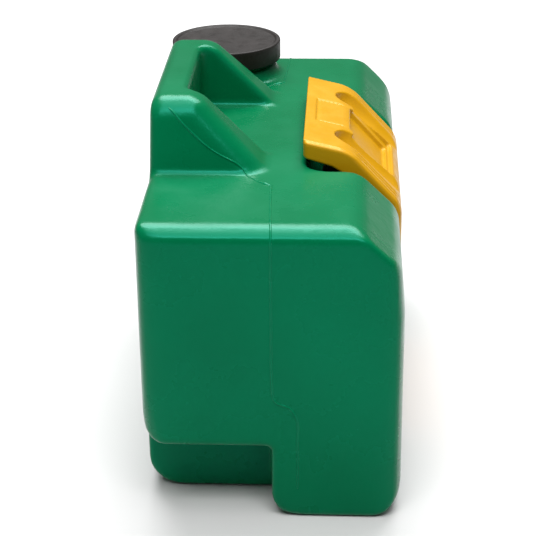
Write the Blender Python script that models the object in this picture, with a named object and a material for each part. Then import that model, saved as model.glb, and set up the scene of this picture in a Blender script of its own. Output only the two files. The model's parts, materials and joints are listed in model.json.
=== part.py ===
"""Portable gravity-fed eyewash station: a blow-moulded tank with a pull-down arm.

Metres, +Z up. The origin is the middle of the footprint on the surface the tank
stands on. +X runs along the tank's long side, -Y is the front, where the arm opens.
"""
import math

import bmesh
import bpy
from mathutils import Matrix, Vector

# ---------------------------------------------------------------- driving sizes
GAP = 0.0003                    # clearance between pieces that touch

TANK_WIDTH = 0.530              # overall, along X
TANK_DEPTH = 0.240              # overall, along Y
TANK_TOP = 0.287                # height of the tank's flat top
TANK_WALL = 0.004
CORNER_RADIUS = 0.020           # upright corners
SHOULDER_IN = 0.013             # chamfer between the end walls and the top
SHOULDER_DROP = 0.009
FRONT_SLOPE_RUN = 0.038         # slope between the front wall and the top
FRONT_SLOPE_DROP = 0.037
FRONT_LEAN_RUN = 0.005          # slight outward lean below that slope
FRONT_LEAN_DROP = 0.050
FOOT_FRONT_RADIUS = 0.028
FOOT_BACK_RADIUS = 0.024
BODY_BACK_RADIUS = 0.033
WING_BACK_RADIUS = 0.022

NOTCH_IN = 0.051                # undercut below the rear half of each end
NOTCH_HEIGHT = 0.0735
NOTCH_FRONT_Y = 0.000

HANDLE_HEIGHT = 0.066           # above the tank's top
HANDLE_DRAFT = 0.021            # how far each outer wall leans in over that height
HANDLE_RIDGE = 0.036            # thickness of each ridge at its crest
HANDLE_BAR = 0.034              # thickness of the grip bar, along Y
HANDLE_CREST = 0.046            # level part of each ridge, along Y
HANDLE_RUN = 0.065              # sloping part of each ridge, along Y
HANDLE_EDGE = 0.009
GRIP_POCKET_IN = 0.006          # pocket in the back wall, in from the valley's sides
GRIP_POCKET_BELOW = 0.029       # below and above the tank's top
GRIP_POCKET_ABOVE = 0.022

NECK_RADIUS = 0.050
NECK_HEIGHT = 0.031             # above the tank's top
THREAD_DEPTH = 0.0018
THREAD_PITCH = 0.005
COLLAR_FLARE = 0.010            # past the neck, at the collar's foot
COLLAR_LIP = 0.0035             # past the neck, at the collar's top
COLLAR_HEIGHT = 0.013
CAP_SKIRT_WALL = 0.0076
CAP_HEIGHT = 0.021
CAP_WALL = 0.0032               # thickness of the cap's top
CAP_THREAD_ROOM = 0.0024        # between the neck and the cap's skirt
CAP_RIM = 0.0016                # height of the raised rim on the cap's top
CAP_RIM_WIDTH = 0.004
CAP_END_IN = 0.0115             # from the tank's end to the cap
CAP_OVERHANG = 0.0087           # past the tank's back
CAP_HANDLE_GAP = 0.0045         # between the cap and the handle's foot
GASKET_THICK = 0.002
GASKET_LIP = 0.002              # into the neck's bore
VENT_HALF = 0.002

CHANNEL_HALF = 0.114            # front channel that the arm closes into
CHANNEL_DEPTH = 0.062           # lower part, from the front
HEAD_BACK_ROOM = 0.0155         # behind the stowed spray heads
HEAD_LOW_ROOM = 0.030           # below them
HEAD_BAY_RISE = 0.028
HEAD_BAY_RADIUS = 0.020

ARM_INSET = 0.0005              # front of the arm behind the front of the tank
ARM_SIDE_GAP = 0.0105           # between the arm and the channel's side
ARM_WALL = 0.003
ARM_BACK_LAP = 0.0022           # top plate past the head bay's back
ARM_PLATE_RISE = 0.0106         # from the knee up to the top plate's back edge
ARM_KNEE_UP = 0.014             # knee above the tank's top
ARM_SLOPE_RUN = 0.050
ARM_SLOPE_DROP = 0.0534
ARM_BROW_IN = 0.0007
ARM_CORNER = 0.006
ARM_FOOT_Z = 0.012
ARM_FLANGE = 0.0395             # depth of the side flanges along the front
ARM_FLANGE_TOP = 0.0116         # their deep part ends this far below the brow
ARM_LIP = 0.0166                # depth of the flange around the top plate
ARM_LIP_NEAR = (0.0055, 0.023)  # inner corners of that flange, behind and below the knee
ARM_LIP_FAR = (0.0175, 0.0152)
SCOOP_IN = 0.0435               # two scoops beside the pull lip, in from the arm's sides
SCOOP_RADIUS = 0.0227
SCOOP_START = 0.003             # down the slope from the knee
SCOOP_RUN_OUT = 0.4             # share of its length that it runs on past the brow
SCOOP_DEPTH_TOP = 0.012
SCOOP_DEPTH_END = 0.003
PANEL_IN = 0.027                # sunk panel between the scoops, in from their axes
PANEL_DEPTH = 0.008
PANEL_START = 0.002
PANEL_END = 0.058

HINGE_IN = 0.0215               # hinge line behind the arm's front
HINGE_UP = 0.016                # and above its foot
PIN_RADIUS = 0.005
PIN_HEAD_LIP = 0.004            # head's radius past the pin's
PIN_HEAD = 0.003
PIN_REACH = 0.013               # how far the pin enters the tank's side wall
BUSH_WALL = 0.0027
BUSH_FLANGE = 0.0023
BUSH_FLANGE_LIP = 0.0016        # flange's radius past the bush's
CLIP_THICK = 0.0015
STOP_RADIUS = 0.004             # moulded lug that limits the arm's opening
STOP_BACK = 0.012               # its place behind and above the hinge line
STOP_UP = 0.014
LUG_GAP = 0.003                 # between the lug's end and the channel's side
LEDGE_GAP = 0.0025              # between the arm's side and the ledge that stops the lug
REST_RIB_DROP = 0.115           # top of the ribs that the closed arm rests on, below the tank's top
REST_RIB_TALL = 0.022
REST_RIB_WIDE = 0.010

OUTLET_IN = 0.0285              # outlet in from the arm's left side
OUTLET_WALL = 0.004
OUTLET_BORE = 0.006
OUTLET_FLANGE_LIP = 0.007       # flange's radius past the fitting's
OUTLET_FLANGE = 0.004
OUTLET_INSIDE = 0.010           # how far the fitting stands into the tank
NUT_LAND = 0.005                # from the fitting to the nut's flats
NUT_THICK = 0.009
NUT_EDGE = 0.0009
BARB_WALL = 0.002
BARB_BORE = 0.0043
BARB_LENGTH = 0.020
BARB_ROOT = 0.013               # from the elbow's corner to the barb

HOSE_WALL = 0.002
HOSE_SIDES = 14
HOSE_LEAD = 0.012               # straight stretch past each barb
CLAMP_WIDTH = 0.008
CLAMP_THICK = 0.001
CLAMP_HOUSING = 0.0025          # radius of the screw's housing
HOUSING_SIDES = 10

PIPE_IN = 0.0335                # manifold pipe's axis behind the arm's front
PIPE_CLEAR = 0.0194             # sets its height off the brow, clear of the sunk panel
PIPE_WALL = 0.003
PIPE_BORE = 0.006
PIPE_END = 0.013                # pipe past the spray heads' axes
INLET_IN = 0.007                # inlet in from the right head's axis
INLET_STAND = 0.009             # from the pipe down to the barb
HEAD_X = 0.055
STUB_WALL = 0.003
STUB_BORE = 0.005
STUB_STAND = 0.0065             # past the pipe
STUB_SEAT = 0.006
HEAD_RADIUS = 0.019
HEAD_BASE_WALL = 0.0032
HEAD_LENGTH = 0.034
HEAD_FLARE = 0.0187             # from the base to the full radius
HEAD_EDGE = 0.0009
HEAD_WALL = 0.0024
HEAD_ROUND = 32
DISC_THICK = 0.002
PLATE_THICK = 0.0025
PLATE_SET = 0.0012              # plate's face inside the cup's rim
PLATE_HOLES = 8
PLATE_HOLE_RADIUS = 0.0016
PLATE_HOLE_CIRCLE = 0.010
HOLE_SIDES = 8

SADDLE_X = 0.022                # clips that hold the pipe to the arm
SADDLE_WIDTH = 0.012
SADDLE_THICK = 0.002
SADDLE_FOOT = 0.014             # foot's reach past the pipe
SCREW_RADIUS = 0.002
SCREW_HEAD_LIP = 0.002          # head's radius past the screw's
SCREW_CROWN = 0.0004            # flat of the head's crown, past the screw's radius
SCREW_HEAD = 0.0026
SCREW_LENGTH = 0.012

ROUND = 48                      # sides of a large circle
SMALL_ROUND = 24
TINY_ROUND = 16

# ---------------------------------------------------------------- derived sizes
HALF_W = TANK_WIDTH / 2
FRONT_Y = -TANK_DEPTH / 2
BACK_Y = TANK_DEPTH / 2
HANDLE_TOP = TANK_TOP + HANDLE_HEIGHT
CHANNEL_BACK_Y = FRONT_Y + CHANNEL_DEPTH

COLLAR_BASE_RADIUS = NECK_RADIUS + COLLAR_FLARE
COLLAR_TOP_RADIUS = NECK_RADIUS + COLLAR_LIP
CAP_RADIUS = NECK_RADIUS + CAP_THREAD_ROOM + CAP_SKIRT_WALL
NECK_X = HALF_W - CAP_END_IN - CAP_RADIUS
NECK_Y = BACK_Y + CAP_OVERHANG - CAP_RADIUS
NECK_TOP = TANK_TOP + NECK_HEIGHT
GASKET_LOW = NECK_TOP + GAP
CAP_UNDERSIDE = GASKET_LOW + GASKET_THICK + GAP

HANDLE_HALF_BASE = NECK_X - CAP_RADIUS - CAP_HANDLE_GAP
HANDLE_HALF_TOP = HANDLE_HALF_BASE - HANDLE_DRAFT
HANDLE_HALF_VALLEY = HANDLE_HALF_TOP - HANDLE_RIDGE
HANDLE_FOOT_Y = BACK_Y - HANDLE_CREST - HANDLE_RUN
GRIP_POCKET_HALF = HANDLE_HALF_VALLEY - GRIP_POCKET_IN
GRIP_POCKET_LOW = TANK_TOP - GRIP_POCKET_BELOW
GRIP_POCKET_HIGH = TANK_TOP + GRIP_POCKET_ABOVE

ARM_HALF = CHANNEL_HALF - ARM_SIDE_GAP
OUTLET_X = OUTLET_IN - ARM_HALF
SCOOP_X = ARM_HALF - SCOOP_IN
PANEL_HALF = SCOOP_X - PANEL_IN
ARM_FRONT_Y = FRONT_Y + ARM_INSET
ARM_BROW_Y = ARM_FRONT_Y + ARM_BROW_IN
ARM_KNEE_Y = ARM_FRONT_Y + ARM_SLOPE_RUN
ARM_KNEE_Z = TANK_TOP + ARM_KNEE_UP
ARM_BROW_Z = ARM_KNEE_Z - ARM_SLOPE_DROP
ARM_BACK_Z = ARM_KNEE_Z + ARM_PLATE_RISE
ARM_DEEP_TOP = ARM_BROW_Z - ARM_FLANGE_TOP
HINGE_Y = ARM_FRONT_Y + HINGE_IN
HINGE_Z = ARM_FOOT_Z + HINGE_UP
LEDGE_WIDTH = ARM_SIDE_GAP - LEDGE_GAP
REST_RIB_HIGH = TANK_TOP - REST_RIB_DROP
REST_RIB_LOW = REST_RIB_HIGH - REST_RIB_TALL

BARB_RADIUS = BARB_BORE + BARB_WALL
HOSE_BORE = BARB_RADIUS + GAP
HOSE_RADIUS = HOSE_BORE + HOSE_WALL
OUTLET_RADIUS = OUTLET_BORE + OUTLET_WALL
OUTLET_FLANGE_RADIUS = OUTLET_RADIUS + OUTLET_FLANGE_LIP
NUT_FLATS = 2 * (OUTLET_RADIUS + NUT_LAND)
PIN_HEAD_RADIUS = PIN_RADIUS + PIN_HEAD_LIP
BUSH_BORE = PIN_RADIUS + GAP
BUSH_RADIUS = BUSH_BORE + BUSH_WALL
BUSH_FLANGE_RADIUS = BUSH_RADIUS + BUSH_FLANGE_LIP
SOCKET_RADIUS = BUSH_RADIUS + GAP

PIPE_Y = ARM_FRONT_Y + PIPE_IN
PIPE_RADIUS = PIPE_BORE + PIPE_WALL
PIPE_Z = ARM_BROW_Z + PIPE_CLEAR - 2 * PIPE_RADIUS
PIPE_HALF = HEAD_X + PIPE_END
INLET_X = HEAD_X - INLET_IN
INLET_ROOT = PIPE_RADIUS + INLET_STAND
STUB_RADIUS = STUB_BORE + STUB_WALL
STUB_REACH = PIPE_RADIUS + STUB_STAND
HEAD_BASE_Y = PIPE_Y + STUB_REACH - STUB_SEAT
HEAD_BASE_RADIUS = STUB_RADIUS + GAP + HEAD_BASE_WALL
SADDLE_DROP = PIPE_RADIUS + SADDLE_FOOT
SCREW_HEAD_RADIUS = SCREW_RADIUS + SCREW_HEAD_LIP
HEAD_BAY_BACK_Y = HEAD_BASE_Y + HEAD_LENGTH + HEAD_BACK_ROOM
HEAD_BAY_FLOOR = PIPE_Z - HEAD_RADIUS - HEAD_LOW_ROOM
ARM_BACK_Y = HEAD_BAY_BACK_Y + ARM_BACK_LAP
BIG = 0.5                       # reach of a cutter past the tank
SKIRT = 0.02                    # reach of a cutter past a face it opens


# ---------------------------------------------------------------- small tools
def clear_scene():
    for obj in list(bpy.data.objects):
        bpy.data.objects.remove(obj, do_unlink=True)


def material(name, colour, roughness, metallic=0.0):
    mat = bpy.data.materials.new(name)
    mat.use_nodes = True
    shader = mat.node_tree.nodes["Principled BSDF"]
    shader.inputs["Base Color"].default_value = (*colour, 1.0)
    shader.inputs["Roughness"].default_value = roughness
    shader.inputs["Metallic"].default_value = metallic
    return mat


def object_from(bm, name):
    bmesh.ops.recalc_face_normals(bm, faces=bm.faces)
    mesh = bpy.data.meshes.new(name)
    bm.to_mesh(mesh)
    bm.free()
    obj = bpy.data.objects.new(name, mesh)
    bpy.context.collection.objects.link(obj)
    return obj


def cross(ax, ay, bx, by):
    return ax * by - ay * bx


def offset_outline(points, distance):
    """Move every edge of a closed outline inwards by distance (outwards if negative)."""
    count = len(points)
    area = sum(cross(*points[i], *points[(i + 1) % count]) for i in range(count))
    inward = distance if area > 0 else -distance
    moved = []
    for i in range(count):
        before = Vector(points[i - 1])
        here = Vector(points[i])
        after = Vector(points[(i + 1) % count])
        into = (here - before).normalized()
        out = (after - here).normalized()
        side_in = Vector((-into.y, into.x))
        side_out = Vector((-out.y, out.x))
        bisector = (side_in + side_out) / (1.0 + side_in.dot(side_out))
        moved.append(tuple(here + bisector * inward))
    return moved


def arc(centre, radius, start, end, steps=5):
    """Points on a circle from one angle to another, in degrees, both ends included."""
    angles = [math.radians(start + (end - start) * i / steps) for i in range(steps + 1)]
    return [(centre[0] + radius * math.cos(a), centre[1] + radius * math.sin(a)) for a in angles]


def prism(name, outline, axis, low, high):
    """Extrude an outline. Axis X takes (y, z) points, Y takes (x, z), Z takes (x, y)."""
    def place(u, v, w):
        return {"X": (w, u, v), "Y": (u, w, v), "Z": (u, v, w)}[axis]

    bm = bmesh.new()
    near = [bm.verts.new(place(u, v, low)) for u, v in outline]
    far = [bm.verts.new(place(u, v, high)) for u, v in outline]
    bm.faces.new(near)
    bm.faces.new(far)
    count = len(outline)
    for i in range(count):
        j = (i + 1) % count
        bm.faces.new((near[i], near[j], far[j], far[i]))
    return object_from(bm, name)


def box(name, low, high):
    outline = [(low[0], low[1]), (high[0], low[1]), (high[0], high[1]), (low[0], high[1])]
    return prism(name, outline, "Z", low[2], high[2])


def turned(name, profile, sides, base=(0, 0, 0), along=(0, 0, 1)):
    """Spin a closed profile of (radius, height) points; height runs from base along a direction."""
    bm = bmesh.new()
    rings = []
    for radius, height in profile:
        if radius == 0:
            rings.append([bm.verts.new((0, 0, height))] * sides)
            continue
        ring = []
        for i in range(sides):
            angle = 2 * math.pi * (i + 0.5) / sides
            ring.append(bm.verts.new((radius * math.cos(angle), radius * math.sin(angle), height)))
        rings.append(ring)
    open_ended = profile[0][0] == 0 and profile[-1][0] == 0
    last = len(rings) - 1 if open_ended else len(rings)
    for k in range(last):
        lower = rings[k]
        upper = rings[(k + 1) % len(rings)]
        for i in range(sides):
            j = (i + 1) % sides
            corners = list(dict.fromkeys((lower[i], lower[j], upper[j], upper[i])))
            if len(corners) > 2:
                bm.faces.new(corners)
    turn = Vector((0, 0, 1)).rotation_difference(Vector(along)).to_matrix().to_4x4()
    bmesh.ops.transform(bm, matrix=Matrix.Translation(base) @ turn, verts=bm.verts)
    return object_from(bm, name)


def rod(name, radius, start, end, sides=SMALL_ROUND):
    along = Vector(end) - Vector(start)
    profile = [(0, 0), (radius, 0), (radius, along.length), (0, along.length)]
    return turned(name, profile, sides, start, along.normalized())


def ball(name, radius, centre, sides=SMALL_ROUND):
    steps = sides // 2
    profile = [(radius * math.sin(math.pi * i / steps), -radius * math.cos(math.pi * i / steps))
               for i in range(steps + 1)]
    profile[0] = (0, -radius)
    profile[-1] = (0, radius)
    return turned(name, profile, sides, centre)


def evaluated(obj):
    """Bake an object's modifiers into its mesh."""
    graph = bpy.context.evaluated_depsgraph_get()
    mesh = bpy.data.meshes.new_from_object(obj.evaluated_get(graph))
    obj.modifiers.clear()
    old = obj.data
    obj.data = mesh
    bpy.data.meshes.remove(old)


def combine(obj, operation, *tools):
    """Boolean each tool into obj in turn, and remove the tools."""
    for tool in tools:
        modifier = obj.modifiers.new("combine", "BOOLEAN")
        modifier.operation = operation
        modifier.solver = "MANIFOLD"
        modifier.object = tool
        evaluated(obj)
        bpy.data.objects.remove(tool, do_unlink=True)
    return obj


def cut(obj, *tools):
    return combine(obj, "DIFFERENCE", *tools)


def fuse(obj, *tools):
    return combine(obj, "UNION", *tools)


def common(obj, *tools):
    return combine(obj, "INTERSECT", *tools)


def bevelled(obj, width, segments=2, angle=30):
    """Round the edges of a simple solid."""
    modifier = obj.modifiers.new("round", "BEVEL")
    modifier.width = width
    modifier.segments = segments
    modifier.limit_method = "ANGLE"
    modifier.angle_limit = math.radians(angle)
    evaluated(obj)
    return obj


def finish(obj, mat, origin=None):
    """Shade a piece smooth, give it its material and put its origin where it turns."""
    mesh = obj.data
    mesh.materials.clear()
    mesh.materials.append(mat)
    mesh.shade_smooth()
    mesh.set_sharp_from_angle(angle=math.radians(35))
    if origin is not None:
        mesh.transform(Matrix.Translation(-Vector(origin)))
        obj.location = origin
    return obj


# ---------------------------------------------------------------- tank
def side_outline():
    """Tank seen from its end, as (y, z)."""
    low_front = (FRONT_Y + FOOT_FRONT_RADIUS, FOOT_FRONT_RADIUS)
    low_back = (BACK_Y - BODY_BACK_RADIUS, BODY_BACK_RADIUS)
    slope_foot_z = TANK_TOP - FRONT_SLOPE_DROP
    return [
        *arc(low_front, FOOT_FRONT_RADIUS, 180, 270),
        *arc(low_back, BODY_BACK_RADIUS, 270, 360),
        (BACK_Y, TANK_TOP),
        (FRONT_Y + FRONT_LEAN_RUN + FRONT_SLOPE_RUN, TANK_TOP),
        (FRONT_Y + FRONT_LEAN_RUN, slope_foot_z),
        (FRONT_Y, slope_foot_z - FRONT_LEAN_DROP),
    ]


def end_outline():
    """Tank seen from the front, as (x, z)."""
    return [
        (-HALF_W, 0), (HALF_W, 0),
        (HALF_W, TANK_TOP - SHOULDER_DROP), (HALF_W - SHOULDER_IN, TANK_TOP),
        (-HALF_W + SHOULDER_IN, TANK_TOP), (-HALF_W, TANK_TOP - SHOULDER_DROP),
    ]


def plan_outline():
    """Tank seen from above, as (x, y)."""
    x = HALF_W - CORNER_RADIUS
    y = BACK_Y - CORNER_RADIUS
    return [
        *arc((x, y), CORNER_RADIUS, 0, 90), *arc((-x, y), CORNER_RADIUS, 90, 180),
        *arc((-x, -y), CORNER_RADIUS, 180, 270), *arc((x, -y), CORNER_RADIUS, 270, 360),
    ]


def notch_outline():
    """Undercut below the rear half of an end, as (y, z)."""
    foot = (NOTCH_FRONT_Y - FOOT_BACK_RADIUS, FOOT_BACK_RADIUS)
    wing = (BACK_Y - WING_BACK_RADIUS, NOTCH_HEIGHT + WING_BACK_RADIUS)
    return [
        (NOTCH_FRONT_Y - FOOT_BACK_RADIUS, -SKIRT),
        (BACK_Y + SKIRT, -SKIRT),
        (BACK_Y + SKIRT, NOTCH_HEIGHT + WING_BACK_RADIUS),
        *arc(wing, WING_BACK_RADIUS, 360, 270),
        (NOTCH_FRONT_Y, NOTCH_HEIGHT),
        *arc(foot, FOOT_BACK_RADIUS, 0, -90),
    ]


def channel_outline():
    """Front channel and the bay for the spray heads, as (y, z)."""
    return [
        (FRONT_Y - SKIRT, -SKIRT),
        (CHANNEL_BACK_Y, -SKIRT),
        (CHANNEL_BACK_Y, HEAD_BAY_FLOOR),
        (HEAD_BAY_BACK_Y, HEAD_BAY_FLOOR + HEAD_BAY_RISE),
        (HEAD_BAY_BACK_Y, TANK_TOP + SKIRT),
        (FRONT_Y - SKIRT, TANK_TOP + SKIRT),
    ]


def bay_plan():
    """Plan of the channel, with the bay's rounded back corners, as (x, y)."""
    x = CHANNEL_HALF - HEAD_BAY_RADIUS
    y = HEAD_BAY_BACK_Y - HEAD_BAY_RADIUS
    return [
        (-CHANNEL_HALF, FRONT_Y - SKIRT), (CHANNEL_HALF, FRONT_Y - SKIRT),
        *arc((x, y), HEAD_BAY_RADIUS, 0, 90, 4), *arc((-x, y), HEAD_BAY_RADIUS, 90, 180, 4),
    ]


def handle_form(inset):
    """The raised U of the grip: a bar along the back and a ridge down each side."""
    base_z = TANK_TOP - SKIRT
    slope = (BACK_Y - HANDLE_CREST - HANDLE_FOOT_Y) / HANDLE_HEIGHT
    draft = (HANDLE_HALF_BASE - HANDLE_HALF_TOP) / HANDLE_HEIGHT
    half_base = HANDLE_HALF_BASE + draft * SKIRT - inset
    half_top = HANDLE_HALF_TOP - inset
    top_z = HANDLE_TOP - inset
    back_y = BACK_Y - inset
    front_shift = inset * math.hypot(1, slope)
    crest_y = BACK_Y - HANDLE_CREST + front_shift - slope * inset
    foot_y = HANDLE_FOOT_Y - slope * SKIRT + front_shift
    bm = bmesh.new()
    corners = [
        (half_base, back_y, base_z), (-half_base, back_y, base_z),
        (-half_base, foot_y, base_z), (half_base, foot_y, base_z),
        (half_top, back_y, top_z), (-half_top, back_y, top_z),
        (-half_top, crest_y, top_z), (half_top, crest_y, top_z),
    ]
    verts = [bm.verts.new(corner) for corner in corners]
    for ring in ((0, 1, 2, 3), (4, 5, 6, 7), (0, 1, 5, 4), (1, 2, 6, 5), (2, 3, 7, 6), (3, 0, 4, 7)):
        bm.faces.new([verts[i] for i in ring])
    handle = object_from(bm, "handle_form")
    valley_front = HANDLE_FOOT_Y - SKIRT * 2
    valley_back = BACK_Y - HANDLE_BAR + inset
    valley_half = HANDLE_HALF_VALLEY + inset
    valley = box("valley", (-valley_half, valley_front, TANK_TOP - inset - GAP),
                 (valley_half, valley_back, HANDLE_TOP + SKIRT))
    bevelled(handle, HANDLE_EDGE)
    return cut(handle, valley)


def neck_form(inset):
    """Filler neck with a flared collar at its foot."""
    top = NECK_TOP + (SKIRT if inset else 0)
    collar_top = TANK_TOP + COLLAR_HEIGHT
    neck = NECK_RADIUS - inset
    if inset:
        profile = [(0, TANK_TOP - SKIRT), (neck, TANK_TOP - SKIRT), (neck, top), (0, top)]
    else:
        profile = [
            (0, TANK_TOP - SKIRT), (COLLAR_BASE_RADIUS, TANK_TOP - SKIRT),
            (COLLAR_BASE_RADIUS, TANK_TOP), (COLLAR_TOP_RADIUS, collar_top), (neck, collar_top),
        ]
        for turn in (2, 1):
            crest = top - turn * THREAD_PITCH
            profile += [(neck, crest - THREAD_DEPTH), (neck + THREAD_DEPTH, crest),
                        (neck, crest + THREAD_DEPTH)]
        profile += [(neck, top), (0, top)]
    neck_solid = turned("neck_form", profile, ROUND, (NECK_X, NECK_Y, 0))
    inside_back = BACK_Y - inset - GAP
    return common(neck_solid, box("behind", (0, -BIG, 0), (BIG, inside_back, BIG)))


def tank_form(inset):
    """The whole moulding as one solid, with every wall moved inwards by inset."""
    body = prism("tank_form", offset_outline(side_outline(), inset), "X", -HALF_W + inset, HALF_W - inset)
    ends = prism("ends", offset_outline(end_outline(), inset), "Y", -BIG, BIG)
    plan = prism("plan", offset_outline(plan_outline(), inset), "Z", -BIG, BIG)
    common(body, ends, plan)
    fuse(body, handle_form(inset))
    for side in (-1, 1):
        inner = side * (HALF_W - NOTCH_IN - inset)
        outer = side * (HALF_W + SKIRT)
        outline = offset_outline(notch_outline(), -inset)
        cut(body, prism("notch", outline, "X", min(inner, outer), max(inner, outer)))
    channel = prism("channel", offset_outline(channel_outline(), -inset), "X", -BIG, BIG)
    common(channel, prism("bay", offset_outline(bay_plan(), -inset), "Z", -BIG, BIG))
    cut(body, channel)
    pocket_low = (-GRIP_POCKET_HALF - inset, BACK_Y - HANDLE_BAR + 2 * TANK_WALL - inset,
                  GRIP_POCKET_LOW - inset)
    pocket_high = (GRIP_POCKET_HALF + inset, BACK_Y + SKIRT, GRIP_POCKET_HIGH + inset)
    cut(body, box("pocket", pocket_low, pocket_high))
    return fuse(body, neck_form(inset))


def make_tank(mat):
    tank = tank_form(0.0)
    tank.name = "tank_shell"
    cut(tank, tank_form(TANK_WALL))
    for side in (-1, 1):
        wall_x = side * (CHANNEL_HALF + TANK_WALL / 2)
        boss_end = side * (CHANNEL_HALF + PIN_REACH + 2 * TANK_WALL)
        boss = rod("boss", SOCKET_RADIUS + TANK_WALL, (wall_x, HINGE_Y, HINGE_Z),
                   (boss_end, HINGE_Y, HINGE_Z))
        rib_x = (side * (ARM_HALF - REST_RIB_WIDE / 2), side * (ARM_HALF + REST_RIB_WIDE / 2))
        rib_y = ARM_FRONT_Y + ARM_FLANGE + GAP
        rib = box("rib", (min(rib_x), rib_y, REST_RIB_LOW),
                  (max(rib_x), CHANNEL_BACK_Y + TANK_WALL / 2, REST_RIB_HIGH))
        ledge_x = (side * (CHANNEL_HALF - LEDGE_WIDTH), side * (CHANNEL_HALF + TANK_WALL / 2))
        # Open, the arm has turned a quarter, so the lug's height lies ahead of the hinge line.
        ledge_top = HINGE_Z + STOP_BACK - STOP_RADIUS - GAP
        ledge_mid = HINGE_Y - STOP_UP
        ledge = box("ledge", (min(ledge_x), ledge_mid - STOP_RADIUS, ledge_top - 2 * STOP_RADIUS),
                    (max(ledge_x), ledge_mid + STOP_RADIUS, ledge_top))
        fuse(tank, boss, rib, ledge)
        socket_end = side * (CHANNEL_HALF + PIN_REACH + TANK_WALL)
        socket_mouth = side * (CHANNEL_HALF - GAP)
        cut(tank, rod("socket", SOCKET_RADIUS, (socket_mouth, HINGE_Y, HINGE_Z),
                      (socket_end, HINGE_Y, HINGE_Z)))
    cut(tank, rod("outlet_hole", OUTLET_RADIUS + GAP, (OUTLET_X, CHANNEL_BACK_Y - SKIRT, HINGE_Z),
                  (OUTLET_X, CHANNEL_BACK_Y + SKIRT, HINGE_Z)))
    return finish(tank, mat)


# ---------------------------------------------------------------- fill cap
def make_cap(cap_mat, rubber):
    cap_top = CAP_UNDERSIDE + CAP_WALL
    skirt_foot = cap_top + CAP_RIM - CAP_HEIGHT
    edge = CAP_RIM / 2
    rim_in = CAP_RADIUS - CAP_RIM_WIDTH
    skirt_in = NECK_RADIUS + CAP_THREAD_ROOM
    profile = [
        (0, CAP_UNDERSIDE), (skirt_in, CAP_UNDERSIDE), (skirt_in, skirt_foot),
        (CAP_RADIUS - edge, skirt_foot), (CAP_RADIUS, skirt_foot + edge),
        (CAP_RADIUS, cap_top + CAP_RIM - edge), (CAP_RADIUS - edge, cap_top + CAP_RIM),
        (rim_in, cap_top + CAP_RIM), (rim_in - CAP_RIM, cap_top), (0, cap_top),
    ]
    centre = (NECK_X, NECK_Y, 0)
    cap = turned("fill_cap", profile, ROUND, centre)
    finish(cap, cap_mat, (NECK_X, NECK_Y, cap_top))
    inner = NECK_RADIUS - TANK_WALL - GASKET_LIP
    high = GASKET_LOW + GASKET_THICK
    ring = [(inner, GASKET_LOW), (NECK_RADIUS, GASKET_LOW), (NECK_RADIUS, high), (inner, high)]
    gasket = turned("cap_gasket", ring, ROUND, centre)
    vent = box("vent", (NECK_X - VENT_HALF, NECK_Y - BIG, GASKET_LOW - GAP),
               (NECK_X + VENT_HALF, NECK_Y, GASKET_LOW + GASKET_THICK / 2))
    cut(gasket, vent)
    finish(gasket, rubber, (NECK_X, NECK_Y, GASKET_LOW))


# ---------------------------------------------------------------- outlet fitting
def hexagon(flats):
    radius = flats / math.sqrt(3)
    return [(radius * math.cos(math.radians(60 * i)), radius * math.sin(math.radians(60 * i)))
            for i in range(6)]


def make_outlet(plastic, rubber):
    inner_wall = CHANNEL_BACK_Y + TANK_WALL
    gasket_y = (inner_wall + GAP, inner_wall + GAP + GASKET_THICK)
    flange_y = gasket_y[1] + GAP
    corner = (OUTLET_X, HINGE_Y, HINGE_Z)
    inside = (OUTLET_X, inner_wall + OUTLET_INSIDE, HINGE_Z)
    barb_root = (OUTLET_X + BARB_ROOT, HINGE_Y, HINGE_Z)
    barb_end = (OUTLET_X + BARB_ROOT + BARB_LENGTH, HINGE_Y, HINGE_Z)
    elbow = rod("outlet_elbow", OUTLET_RADIUS, corner, inside)
    flange = rod("flange", OUTLET_FLANGE_RADIUS, (OUTLET_X, flange_y, HINGE_Z),
                 (OUTLET_X, flange_y + OUTLET_FLANGE, HINGE_Z))
    shoulder = rod("shoulder", HOSE_RADIUS, corner, barb_root)
    barb = rod("barb", BARB_RADIUS, corner, barb_end)
    fuse(elbow, ball("corner", OUTLET_RADIUS, corner), flange, shoulder, barb)
    past_inside = (OUTLET_X, inside[1] + SKIRT, HINGE_Z)
    past_barb = (barb_end[0] + SKIRT, HINGE_Y, HINGE_Z)
    bore = rod("bore", OUTLET_BORE, corner, past_inside)
    fuse(bore, rod("cross_bore", BARB_BORE, corner, past_barb))
    cut(elbow, bore)
    finish(elbow, plastic, corner)

    ring = [(OUTLET_RADIUS + GAP, 0), (OUTLET_FLANGE_RADIUS, 0), (OUTLET_FLANGE_RADIUS, GASKET_THICK),
            (OUTLET_RADIUS + GAP, GASKET_THICK)]
    gasket = turned("outlet_gasket", ring, SMALL_ROUND, (OUTLET_X, gasket_y[0], HINGE_Z), (0, 1, 0))
    finish(gasket, rubber)

    nut_face = CHANNEL_BACK_Y - GAP
    outline = [(OUTLET_X + u, HINGE_Z + v) for u, v in hexagon(NUT_FLATS)]
    nut = prism("outlet_nut", outline, "Y", nut_face - NUT_THICK, nut_face)
    bevelled(nut, NUT_EDGE, 1)
    cut(nut, rod("nut_bore", OUTLET_RADIUS + GAP, (OUTLET_X, nut_face - SKIRT, HINGE_Z),
                 (OUTLET_X, nut_face + SKIRT, HINGE_Z)))
    finish(nut, plastic)


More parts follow.
